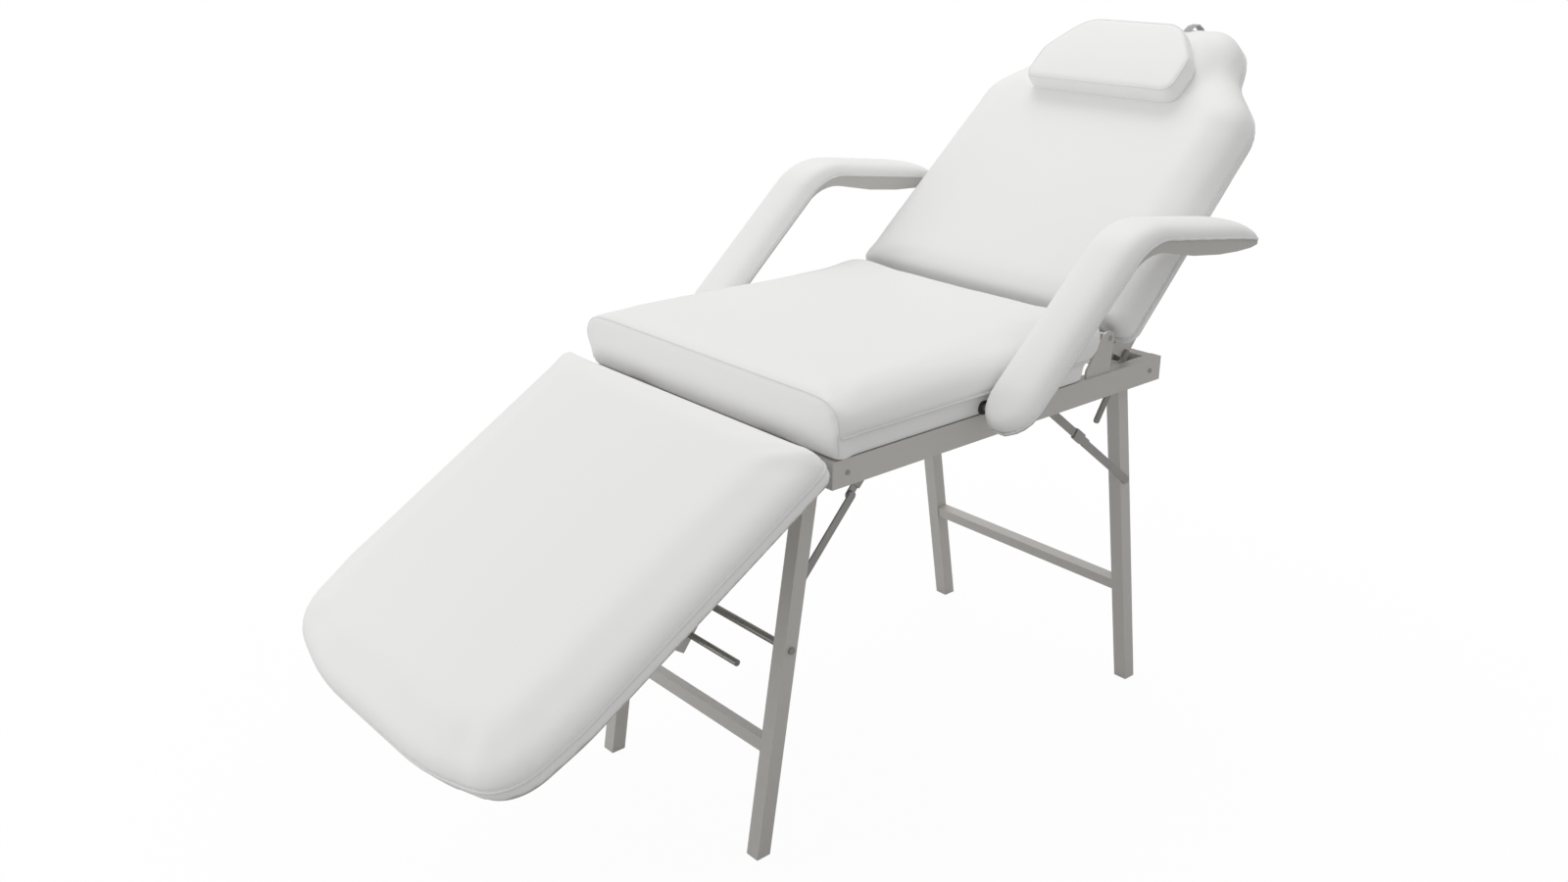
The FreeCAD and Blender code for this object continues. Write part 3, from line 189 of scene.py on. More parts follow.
def drawn_steel_group() -> bpy.types.NodeTree:
    """Drawn or plated steel: fine lines along the piece and soft blotches.

    Returns:
        A node group with Normal, Shade and Roughness outputs.
    """
    tree = shading_group("drawn_steel", {"Fineness": 420.0, "Depth": 0.08},
                         {"Normal": "NodeSocketVector", "Shade": "NodeSocketFloat",
                          "Roughness": "NodeSocketFloat"})
    link = tree.links.new
    source, result = tree.nodes["in"], tree.nodes["out"]
    place = add_node(tree, "ShaderNodeTexCoord")
    stretch = add_node(tree, "ShaderNodeMapping", Scale=(0.12, 1.0, 1.0))
    link(place.outputs["Object"], stretch.inputs["Vector"])
    lines = add_node(tree, "ShaderNodeTexNoise", Detail=4.0)
    link(stretch.outputs["Vector"], lines.inputs["Vector"])
    link(source.outputs["Fineness"], lines.inputs["Scale"])
    bump = add_node(tree, "ShaderNodeBump", Distance=0.0003)
    link(source.outputs["Depth"], bump.inputs["Strength"])
    link(lines.outputs["Fac"], bump.inputs["Height"])
    link(bump.outputs["Normal"], result.inputs["Normal"])
    blotch = add_node(tree, "ShaderNodeTexNoise", Scale=32.0, Detail=5.0)
    link(place.outputs["Object"], blotch.inputs["Vector"])
    link(blotch.outputs["Fac"], result.inputs["Shade"])
    rough = add_node(tree, "ShaderNodeMapRange", To_Min=0.26, To_Max=0.46)
    link(lines.outputs["Fac"], rough.inputs["Value"])
    link(rough.outputs["Result"], result.inputs["Roughness"])
    return tree


def woven_band_group() -> bpy.types.NodeTree:
    """Elastic or backing cloth: crossed threads as two fine waves.

    Returns:
        A node group with Normal and Shade outputs.
    """
    tree = shading_group("woven_band", {"Threads": 700.0, "Depth": 0.4},
                         {"Normal": "NodeSocketVector", "Shade": "NodeSocketFloat"})
    link = tree.links.new
    source, result = tree.nodes["in"], tree.nodes["out"]
    place = add_node(tree, "ShaderNodeTexCoord")
    waves = []
    for direction in ("X", "Y"):
        wave = add_node(tree, "ShaderNodeTexWave", bands_direction=direction, Distortion=0.6)
        link(place.outputs["Object"], wave.inputs["Vector"])
        link(source.outputs["Threads"], wave.inputs["Scale"])
        waves.append(wave)
    weave = add_node(tree, "ShaderNodeMath", operation="MULTIPLY")
    for number, wave in enumerate(waves):
        link(wave.outputs["Fac"], weave.inputs[number])
    bump = add_node(tree, "ShaderNodeBump", Distance=0.0005)
    link(source.outputs["Depth"], bump.inputs["Strength"])
    link(weave.outputs["Value"], bump.inputs["Height"])
    link(bump.outputs["Normal"], result.inputs["Normal"])
    link(weave.outputs["Value"], result.inputs["Shade"])
    return tree


@dataclass(frozen=True)
class Finish:
    """A surface finish: two close colours mixed by the pattern of a shared group."""

    name: str
    light: tuple[float, float, float]
    dark: tuple[float, float, float]
    group: Callable[[], bpy.types.NodeTree]
    settings: dict[str, float] = field(default_factory=dict)
    metallic: float = 0.0
    roughness: float = 0.5
    sheen: float = 0.0
    specular: float = 0.5
    rubbed: Optional[tuple[float, float, float]] = None

    def material(self) -> bpy.types.Material:
        """Make the finish's material, or give the one already made.

        Returns:
            The material.
        """
        made = bpy.data.materials.get(self.name)
        if made:
            return made
        made = bpy.data.materials.new(self.name)
        made.use_nodes = True
        tree = made.node_tree
        shader = tree.nodes["Principled BSDF"]
        shader.inputs["Metallic"].default_value = self.metallic
        shader.inputs["Roughness"].default_value = self.roughness
        shader.inputs["Sheen Weight"].default_value = self.sheen
        shader.inputs["Specular IOR Level"].default_value = self.specular
        group_name = self.group.__name__.removesuffix("_group")
        texture = add_node(tree, "ShaderNodeGroup")
        texture.node_tree = bpy.data.node_groups.get(group_name) or self.group()
        for key, value in self.settings.items():
            texture.inputs[key].default_value = value
        mix = add_node(tree, "ShaderNodeMix", data_type="RGBA")
        mix.inputs["A"].default_value = (*self.dark, 1.0)
        mix.inputs["B"].default_value = (*self.light, 1.0)
        tree.links.new(texture.outputs["Shade"], mix.inputs["Factor"])
        colour = mix.outputs["Result"]
        if self.rubbed:
            worn = add_node(tree, "ShaderNodeMix", data_type="RGBA")
            worn.inputs["B"].default_value = (*self.rubbed, 1.0)
            tree.links.new(texture.outputs["Rubbed"], worn.inputs["Factor"])
            tree.links.new(colour, worn.inputs["A"])
            colour = worn.outputs["Result"]
        tree.links.new(colour, shader.inputs["Base Color"])
        tree.links.new(texture.outputs["Normal"], shader.inputs["Normal"])
        if "Roughness" in texture.outputs:
            tree.links.new(texture.outputs["Roughness"], shader.inputs["Roughness"])
        return made

    def dress(self, piece: bpy.types.Object) -> None:
        """Put the finish on a piece."""
        piece.data.materials.clear()
        piece.data.materials.append(self.material())


WHITE_LEATHER = Finish("white_leather", (0.77, 0.77, 0.775), (0.738, 0.738, 0.748), leather_grain_group,
                       {"Pebble": 850.0, "Depth": 0.07, "Wave": 0.05}, specular=0.42)
WELT_LEATHER = Finish("welt_leather", (0.84, 0.84, 0.84), (0.78, 0.78, 0.785), leather_grain_group,
                      {"Pebble": 1100.0, "Depth": 0.08, "Wave": 0.0}, specular=0.42)
FRAME_PAINT = Finish("frame_paint", (0.55, 0.522, 0.478), (0.495, 0.47, 0.43), coat_texture_group,
                     {"Peel": 620.0, "Depth": 0.12}, specular=0.4, rubbed=(0.62, 0.6, 0.57))
PLATED_STEEL = Finish("plated_steel", (0.52, 0.51, 0.49), (0.4, 0.39, 0.375), drawn_steel_group,
                      {"Fineness": 420.0, "Depth": 0.08}, metallic=1.0)
DARK_STEEL = Finish("dark_steel", (0.115, 0.11, 0.104), (0.06, 0.057, 0.054), drawn_steel_group,
                    {"Fineness": 520.0, "Depth": 0.12}, metallic=0.75)
GREY_PLASTIC = Finish("grey_plastic", (0.32, 0.31, 0.285), (0.28, 0.27, 0.25), coat_texture_group,
                      {"Peel": 1100.0, "Depth": 0.16}, specular=0.35, rubbed=(0.4, 0.39, 0.37))
BLACK_PLASTIC = Finish("black_plastic", (0.02, 0.02, 0.021), (0.012, 0.012, 0.013), coat_texture_group,
                       {"Peel": 1100.0, "Depth": 0.16}, specular=0.4, rubbed=(0.05, 0.05, 0.05))
BACKING_CLOTH = Finish("backing_cloth", (0.62, 0.61, 0.585), (0.54, 0.53, 0.505), woven_band_group,
                       {"Threads": 420.0, "Depth": 0.3}, roughness=0.8, sheen=0.1, specular=0.25)
WHITE_ELASTIC = Finish("white_elastic", (0.72, 0.72, 0.72), (0.5, 0.5, 0.51), woven_band_group,
                       {"Threads": 650.0, "Depth": 0.7}, roughness=0.85, sheen=0.2, specular=0.2)


# Mesh helpers

# Smallest radius that a drawn-in outline keeps at its corners, and the steps round a quarter of a welt
LEAST_CORNER = 0.004
WELT_STEPS = 2


def rounded_loop(corners: Sequence[Corner], arc_steps: int, line_steps: int) -> list[Vector]:
    """Sample an outline with rounded corners, always with the same number of points.

    Args:
        corners: x, y and corner radius of each corner, counter-clockwise.
        arc_steps: points on each corner's arc.
        line_steps: points on each straight run.

    Returns:
        Flat points round the outline.
    """
    count = len(corners)
    arcs: list[list[Vector]] = []
    for index in range(count):
        here = Vector(corners[index][:2])
        back = (Vector(corners[index - 1][:2]) - here).normalized()
        ahead = (Vector(corners[(index + 1) % count][:2]) - here).normalized()
        half = back.angle(ahead) / 2
        radius = corners[index][2]
        run = radius / math.tan(half)
        centre = here + (back + ahead).normalized() * radius / math.sin(half)
        start = here + back * run - centre
        end = here + ahead * run - centre
        sweep = math.atan2(start.x * end.y - start.y * end.x, start.dot(end))
        arc = []
        for step in range(arc_steps + 1):
            turn = Matrix.Rotation(sweep * step / arc_steps, 2)
            arc.append(centre + turn @ start)
        arcs.append(arc)
    points: list[Vector] = []
    for index in range(count):
        points.extend(arcs[index])
        start, end = arcs[index][-1], arcs[(index + 1) % count][0]
        points.extend(start.lerp(end, step / line_steps) for step in range(1, line_steps))
    return points


def inset_corners(corners: Sequence[Corner], distance: float, crisp_side: Optional[int],
                  crisp_share: float) -> list[Corner]:
    """Move an outline's sides inwards, one by less, and keep its arcs concentric where they can be.

    Args:
        corners: x, y and corner radius of each corner, counter-clockwise.
        distance: how far to move in.
        crisp_side: the side that moves by less, counted from the first corner.
        crisp_share: the share of the distance that it moves.

    Returns:
        The corners of the smaller outline.
    """
    count = len(corners)
    far = [distance * (crisp_share if side == crisp_side else 1.0) for side in range(count)]
    moved = []
    for index in range(count):
        before, here, after = (Vector(corners[(index + step) % count][:2]) for step in (-1, 0, 1))
        first, second = (here - before).normalized(), (after - here).normalized()
        first_normal, second_normal = Vector((-first.y, first.x)), Vector((-second.y, second.x))
        lean = first_normal.dot(second_normal)
        along_first = (far[index - 1] - lean * far[index]) / (1 - lean ** 2)
        along_second = (far[index] - lean * far[index - 1]) / (1 - lean ** 2)
        place = here + first_normal * along_first + second_normal * along_second
        hollow = first.x * second.y - first.y * second.x < 0
        radius = corners[index][2] + (distance if hollow else -distance)
        moved.append((place.x, place.y, max(radius, LEAST_CORNER)))
    return moved


def mirrored(half: Sequence[Corner]) -> list[Corner]:
    """Complete a half outline on the +X side with its mirror image."""
    return list(half) + [(-x, y, radius) for x, y, radius in reversed(half)]


def link_mesh(name: str, mesh: bpy.types.Mesh) -> bpy.types.Object:
    """Give a mesh an object in the scene.

    Args:
        name: name of the object.
        mesh: its mesh.

    Returns:
        The new object.
    """
    piece = bpy.data.objects.new(name, mesh)
    bpy.context.scene.collection.objects.link(piece)
    return piece


def stacked_form(name: str, loops: Sequence[Loop], place: Matrix) -> bpy.types.Object:
    """Skin closed loops, one above the other, into a closed form.

    Args:
        name: name of the piece.
        loops: loops of equal length from the bottom up, in the form's own frame.
        place: the form's own frame in the row frame.

    Returns:
        The piece.
    """
    mesh = bpy.data.meshes.new(name)
    shape = bmesh.new()
    rings = [[shape.verts.new(place @ point) for point in loop] for loop in loops]
    count = len(rings[0])
    for low, high in zip(rings, rings[1:]):
        for index in range(count):
            following = (index + 1) % count
            shape.faces.new((low[index], low[following], high[following], high[index]))
    shape.faces.new(list(reversed(rings[0])))
    shape.faces.new(rings[-1])
    bmesh.ops.recalc_face_normals(shape, faces=shape.faces)
    shape.to_mesh(mesh)
    shape.free()
    return link_mesh(name, mesh)


def smooth_faces(mesh: bpy.types.Mesh) -> None:
    """Shade a mesh without facets."""
    for face in mesh.polygons:
        face.use_smooth = True


def tube_along(name: str, path: Sequence[Vector], radius: float, closed: bool) -> bpy.types.Object:
    """A round welt or cord that follows points.

    Args:
        name: name of the piece.
        path: points along its middle.
        radius: its radius.
        closed: whether it runs round to its start.

    Returns:
        The piece as a mesh.
    """
    curve = bpy.data.curves.new(name, "CURVE")
    curve.dimensions = "3D"
    curve.bevel_depth = radius
    curve.bevel_resolution = WELT_STEPS
    curve.use_fill_caps = True
    spline = curve.splines.new("POLY")
    spline.points.add(len(path) - 1)
    for point, place in zip(spline.points, path):
        point.co = (*place, 1.0)
    spline.use_cyclic_u = closed
    holder = bpy.data.objects.new(f"{name}_line", curve)
    bpy.context.scene.collection.objects.link(holder)
    bpy.context.view_layer.update()
    mesh = bpy.data.meshes.new_from_object(holder.evaluated_get(bpy.context.evaluated_depsgraph_get()))
    bpy.data.objects.remove(holder)
    bpy.data.curves.remove(curve)
    mesh.name = name
    smooth_faces(mesh)
    return link_mesh(name, mesh)


def read_points(mesh: bpy.types.Mesh) -> np.ndarray:
    """The mesh's vertices as an array of rows."""
    flat = np.empty(len(mesh.vertices) * 3)
    mesh.vertices.foreach_get("co", flat)
    return flat.reshape(-1, 3)


def write_points(mesh: bpy.types.Mesh, points: np.ndarray) -> None:
    """Put an array of rows back as the mesh's vertices."""
    mesh.vertices.foreach_set("co", points.astype(np.float32).ravel())
    mesh.update()


def near_path(points: np.ndarray, path: Sequence[Vector], reach: float) -> np.ndarray:
    """How near each point is to a path, as a smooth weight.

    Args:
        points: rows of coordinates.
        path: closely spaced points of the path.
        reach: distance at which the weight has fallen to about a third.

    Returns:
        A weight from 0 to 1 for each row.
    """
    tree = KDTree(len(path))
    for index, place in enumerate(path):
        tree.insert(place, index)
    tree.balance()
    far = np.array([tree.find(row)[2] for row in points])
    return np.exp(-(far / reach) ** 2)


def dense(path: Sequence[Vector], step: float, closed: bool) -> list[Vector]:
    """Add points to a path until they are closely spaced.

    Args:
        path: corner points.
        step: greatest spacing.
        closed: whether the path runs round to its start.

    Returns:
        The closely spaced points.
    """
    result = []
    ends = list(path[1:]) + ([path[0]] if closed else [])
    for start, end in zip(path, ends):
        parts = max(1, math.ceil((end - start).length / step))
        result.extend(start.lerp(end, part / parts) for part in range(parts))
    if not closed:
        result.append(path[-1])
    return result


SWELL_FRAMES = 20
# How far a cover is tacked down round a seam and above its resting face, and the least hold that counts
SEAM_HOLD = 0.007
BASE_HOLD = 0.004
FULL_HOLD = 1.6
LEAST_HOLD = 0.02
# Spacing of a seam's points, and how often a welt's line is evened out on the cover
SEAM_STEP = 0.004
LINE_PASSES = 3
# The furrow under a welt: its depth and the welt's rise as shares of the welt's radius, and how wide it is
FURROW_DEPTH = 1.1
FURROW_REACH = 0.0055
WELT_RISE = 0.35


@dataclass(frozen=True)
class Feel:
    """How a pad is stuffed and covered.

    Attributes:
        voxel: size of the skin's faces.
        pressure: how hard the cover is blown up.
        cap: how far a point of the cover moves at most.
        stiffness: how little the cover stretches.
        bending: how little the cover folds.
        quality: steps in each frame of the swelling.
        smooth: passes that even out the skin before it swells.
        even: passes that even out the swelling.
        fill: how full the pad is of its solid; not used.
    """

    voxel: float = 0.006
    pressure: float = 4.0
    cap: float = 0.006
    stiffness: float = 18.0
    bending: float = 4.0
    quality: int = 4
    smooth: int = 6
    even: int = 14
    fill: float = 0.8


class Pad:
    """A stuffed piece: skinned, remeshed, swollen between its seams, then creased and welted."""

    def __init__(self, name: str, body: str, loops: Sequence[Loop], place: Matrix, feel: Feel) -> None:
        """Skin, remesh and even out the pad.

        Args:
            name: name of the piece.
            body: body that it rides on.
            loops: its section loops from the bottom up.
            place: its own frame in the row frame.
            feel: how it is stuffed.
        """
        self.name, self.body, self.place, self.feel = name, body, place, feel
        self.piece = stacked_form(name, loops, place)
        self.low = min(point.z for point in loops[0])
        self.start = np.empty((0, 3))
        self.free = np.empty((0, 1))
        self.extras: list[bpy.types.Object] = []
        self.remesh()
        self.smooth(feel.smooth)

    def remesh(self) -> None:
        """Give the pad an even skin of small faces."""
        bpy.context.view_layer.objects.active = self.piece
        self.piece.data.remesh_voxel_size = self.feel.voxel
        self.piece.data.use_remesh_fix_poles = False
        with bpy.context.temp_override(active_object=self.piece, object=self.piece,
                                       selected_objects=[self.piece]):
            bpy.ops.object.voxel_remesh()

    def smooth(self, rounds: int) -> None:
        """Even out the skin.

        Args:
            rounds: how many passes.
        """
        mesh = self.piece.data
        write_points(mesh, self.evened(read_points(mesh), rounds))

    def evened(self, values: np.ndarray, rounds: int) -> np.ndarray:
        """Average a value of each point of the skin with its neighbours'.

        Args:
            values: one row for each point.
            rounds: how many passes.

        Returns:
            The evened rows.
        """
        mesh = self.piece.data
        edges = np.empty(len(mesh.edges) * 2, dtype=np.int64)
        mesh.edges.foreach_get("vertices", edges)
        edges = edges.reshape(-1, 2)
        count = np.bincount(edges.ravel(), minlength=len(values))[:, None]
        for _ in range(rounds):
            total = np.zeros_like(values)
            np.add.at(total, edges[:, 0], values[edges[:, 1]])
            np.add.at(total, edges[:, 1], values[edges[:, 0]])
            values = values + 0.5 * (total / count - values)
        return values

    def hold(self, seams: Sequence[Sequence[Vector]], rests: bool = True) -> None:
        """Tack the cover down along its seams and on the face that it rests on, ready to be blown up.

        Args:
            seams: closely spaced points of each seam, in the row frame.
            rests: whether the pad's lowest face is tacked down too.
        """
        self.start = read_points(self.piece.data)
        held = np.zeros(len(self.start))
        if rests:
            inverse = np.array(self.place.inverted())
            own = self.start @ inverse[:3, :3].T + inverse[:3, 3]
            held = np.clip(FULL_HOLD - (own[:, 2] - self.low) / BASE_HOLD, 0.0, 1.0)
        for seam in seams:
            held = np.maximum(held, near_path(self.start, seam, SEAM_HOLD))
        self.free = 1.0 - held[:, None]
        pins = self.piece.vertex_groups.new(name="held")
        for index in np.flatnonzero(held > LEAST_HOLD):
            pins.add([int(index)], float(held[index]), "REPLACE")
        cloth = self.piece.modifiers.new("cover", "CLOTH")
        cloth.settings.quality = self.feel.quality
        cloth.settings.use_pressure = True
        cloth.settings.uniform_pressure_force = self.feel.pressure
        cloth.settings.effector_weights.gravity = 0.0
        cloth.settings.tension_stiffness = self.feel.stiffness
        cloth.settings.compression_stiffness = self.feel.stiffness
        cloth.settings.bending_stiffness = self.feel.bending
        cloth.settings.vertex_group_mass = "held"
        cloth.collision_settings.use_collision = False
        cloth.point_cache.frame_start = 1
        cloth.point_cache.frame_end = SWELL_FRAMES

    def take_swell(self) -> None:
        """Keep the blown-up cover, its motion limited by the stuffing and evened out between the seams."""
        cover = self.piece.evaluated_get(bpy.context.evaluated_depsgraph_get())
        end = read_points(cover.to_mesh())
        cover.to_mesh_clear()
        self.piece.modifiers.remove(self.piece.modifiers["cover"])
        self.piece.vertex_groups.clear()
        move = end - self.start
        length = np.maximum(np.linalg.norm(move, axis=1, keepdims=True), 1e-9)
        cap = self.feel.cap
        limited = self.evened(move * cap * np.tanh(length / cap) / length, self.feel.even)
        write_points(self.piece.data, self.start + limited * self.free)

    def crease(self, path: Sequence[Vector], depth: float, reach: float) -> None:
        """Draw the cover in along a seam.

        Args:
            path: closely spaced points of the seam, in the row frame.
            depth: how far it is drawn in.
            reach: how wide the furrow is to each side.
        """
        mesh = self.piece.data
        points = read_points(mesh)
        normals = np.empty(len(points) * 3)
        mesh.vertices.foreach_get("normal", normals)
        weight = near_path(points, path, reach)[:, None]
        write_points(mesh, points - normals.reshape(-1, 3) * weight * depth)

    def on_cover(self, path: Sequence[Vector], rise: float) -> list[Vector]:
        """Lay a path on the cover.

        Args:
            path: points near the cover, in the row frame.
            rise: how far above the cover it lies.

        Returns:
            The points on the cover.
        """
        mesh = self.piece.data
        tree = BVHTree.FromPolygons([vertex.co for vertex in mesh.vertices],
                                    [face.vertices[:] for face in mesh.polygons])
        laid = []
        for point in path:
            spot, normal, _, _ = tree.find_nearest(point)
            laid.append(spot + normal * rise)
        for _ in range(LINE_PASSES):
            inner = [(laid[i - 1] + laid[i] * 2 + laid[i + 1]) / 4 for i in range(1, len(laid) - 1)]
            laid = [laid[0], *inner, laid[-1]]
        return laid

    def welt(self, label: str, path: Sequence[Vector], radius: float, closed: bool, rise: float) -> None:
        """Sew a covered cord along a path on the cover.

        Args:
            label: what the welt is called after the pad's name.
            path: closely spaced points, in the row frame.
            radius: the cord's radius.
            closed: whether it runs round.
            rise: how far its middle stands above the cover.
        """
        cord = tube_along(f"{self.name}_{label}", self.on_cover(path, rise), radius, closed)
        WELT_LEATHER.dress(cord)
        self.extras.append(cord)

    def complete(self, nodes: Sequence[str]) -> None:
        """Refine, dress and mount the pad.

        Args:
            nodes: the solids that it stands for.
        """
        smooth_faces(self.piece.data)
        finer = self.piece.modifiers.new("finer", "SUBSURF")
        finer.levels = 1
        finer.render_levels = 1
        WHITE_LEATHER.dress(self.piece)
        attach(self.piece, self.body)
        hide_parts(*nodes)
        for extra in self.extras:
            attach(extra, self.body)
        log.info("%s with %d welts", self.name, len(self.extras))


def swell_together(pads: Sequence[Pad]) -> None:
    """Blow up all the pads in one run of the cloth simulation.

    Args:
        pads: pads whose covers are tacked down.
    """
    scene = bpy.context.scene
    for number in range(1, SWELL_FRAMES + 1):
        scene.frame_set(number)
    for pad in pads:
        pad.take_swell()
        pad.smooth(1)
    scene.frame_set(1)


def lifted(points: Iterable[Vector], height: float) -> Loop:
    """Flat points as a loop at a height."""
    return [Vector((point.x, point.y, height)) for point in points]


def tilted_frame(y: float, z: float, degrees: float) -> Matrix:
    """A frame at a point of the middle plane, its Y axis leaning up by an angle."""
    return Matrix.Translation((0.0, y, z)) @ Matrix.Rotation(math.radians(degrees), 4, "X")


# Sub-assemblies

@dataclass
class Seat:
    """The fixed seat: a roll over each side, a flat front panel and a band below the side welts."""

    half: float = 0.302
    front: float = -0.27456
    rear: float = 0.31244
    floor: float = 0.652
    corner: float = 0.02
    panel_corner: float = 0.012
    panel_depth: float = 0.036
    panel_share: float = 0.25
    panel_step: float = 0.0005
    arc_steps: int = 6
    line_steps: int = 10
    feel: Feel = Feel()
    # Height, then how far the sides, the front and the rear are drawn in, in millimetres
    levels: tuple[tuple[float, float, float, float], ...] = (
        (0, 13, 13, 44), (5, 12, 10, 41), (16, 11.6, 7, 40.5), (27, 11.4, 5, 40.5), (31, 10, 4, 36),
        (35, 5, 3.4, 26), (40, 1.4, 2.6, 20), (47, 0, 1.5, 15), (56, 0, 0.4, 10), (63, 1.5, 0, 6),
        (70.5, 5, 0.2, 3), (76.5, 10, 0.8, 1), (81.8, 17, 1.6, 0), (85.4, 24, 2.8, 0.8), (88, 32, 5, 3),
        (89.6, 42, 9, 7), (90.8, 55, 17, 15), (91.6, 75, 36, 34))
    # The side welts: height, distance from the sides, the front and the rear, then the cord and its furrow
    welt_height: float = 0.0335
    welt_inset: float = 0.002
    welt_from_front: float = 0.012
    welt_from_rear: float = 0.05
    welt_radius: float = 0.0026
    welt_rise: float = 0.0012
    welt_furrow: tuple[float, float] = (0.003, 0.006)
    # The front panel's seam: how far behind the front, then inset from the side and height in millimetres
    seam_setback: float = 0.004
    seam_line: tuple[tuple[float, float], ...] = (
        (4, 8), (2, 40), (3, 59), (9, 73.5), (20, 84), (36, 88.5), (60, 90))
    seam_radius: float = 0.0011
    seam_rise: float = 0.0002
    seam_furrow: tuple[float, float] = (0.0016, 0.0045)
    pad: Pad = field(init=False)

    def loop(self, level: tuple[float, float, float, float]) -> Loop:
        """The outline at one level, in the seat's own frame."""
        height, side, front, rear = (value / 1000 for value in level)
        panel = side * (self.panel_share if height < self.welt_height else 1.0)
        panel_end = self.front + front + self.panel_depth
        corners = mirrored([(self.half - panel, self.front + front, self.panel_corner),
                            (self.half - side - self.panel_step, panel_end, self.panel_corner),
                            (self.half - side, self.rear - rear, self.corner)])
        return lifted(rounded_loop(corners, self.arc_steps, self.line_steps), height)

    def side_path(self, side: Side) -> list[Vector]:
        """The welt's line along one side, in the row frame."""
        x = side.value * (self.half - self.welt_inset)
        z = self.floor + self.welt_height
        ends = (self.front + self.welt_from_front, self.rear - self.welt_from_rear)
        return dense([Vector((x, y, z)) for y in ends], SEAM_STEP, False)

    def front_path(self) -> list[Vector]:
        """The front panel's seam: up one side, across the top edge and down the other, in the row frame."""
        y = self.front + self.seam_setback
        rising = [(inset / 1000 - self.half, self.floor + height / 1000) for inset, height in self.seam_line]
        line = rising + [(-x, z) for x, z in reversed(rising)]
        return dense([Vector((x, y, z)) for x, z in line], SEAM_STEP, False)

    def shape(self) -> Pad:
        """Make the seat's pad and tack its seams.

        Returns:
            The pad, ready to be blown up.
        """
        place = Matrix.Translation((0.0, 0.0, self.floor))
        self.pad = Pad("seat_pad", "frame", [self.loop(level) for level in self.levels], place, self.feel)
        self.pad.hold([*(self.side_path(side) for side in Side), self.front_path()])
        return self.pad

    def sew(self) -> None:
        """Draw in the seams and lay the welts."""
        pad = self.pad
        sides = [self.side_path(side) for side in Side]
        front = self.front_path()
        for path in sides:
            pad.crease(path, *self.welt_furrow)
        pad.crease(front, *self.seam_furrow)
        for side, path in zip(Side, sides):
            pad.welt(f"welt_{side.label}", path, self.welt_radius, False, self.welt_rise)
        pad.welt("front_seam", front, self.seam_radius, False, self.seam_rise)
        pad.complete(["seat_base", "seat_cushion"])


@dataclass
class SlopedPad:
    """A pad on a tilted panel: one outline drawn in by a different distance at each height."""

    name: str
    body: str
    nodes: tuple[str, ...]
    place: Matrix
    corners: list[Corner]
    levels: tuple[Level, ...]
    welts: tuple[WeltLine, ...]
    feel: Feel
    crisp_side: Optional[int] = None
    crisp_share: float = 0.16
    arc_steps: int = 10
    line_steps: int = 8
    pad: Pad = field(init=False)

    def loop(self, height: float, drawn_in: float) -> Loop:
        """The outline at a height, in the pad's own frame."""
        smaller = inset_corners(self.corners, drawn_in, self.crisp_side, self.crisp_share)
        return lifted(rounded_loop(smaller, self.arc_steps, self.line_steps), height)

    def shape(self) -> Pad:
        """Make the pad and tack its seams.

        Returns:
            The pad, ready to be blown up.
        """
        loops = [self.loop(height / 1000, drawn_in / 1000) for height, drawn_in in self.levels]
        self.pad = Pad(self.name, self.body, loops, self.place, self.feel)
        self.pad.hold([self.seam(height, drawn_in) for _, height, drawn_in, _ in self.welts])
        return self.pad

    def seam(self, height: float, drawn_in: float) -> list[Vector]:
        """A seam's line round the pad, in the row frame."""
        outline = self.loop(height / 1000, drawn_in / 1000)
        return dense([self.place @ point for point in outline], SEAM_STEP, True)

    def sew(self) -> None:
        """Draw in the seams and lay the welts."""
        for label, height, drawn_in, radius in self.welts:
            path = self.seam(height, drawn_in)
            self.pad.crease(path, radius * FURROW_DEPTH, FURROW_REACH)
            self.pad.welt(label, path, radius, True, radius * WELT_RISE)
        self.pad.complete(self.nodes)


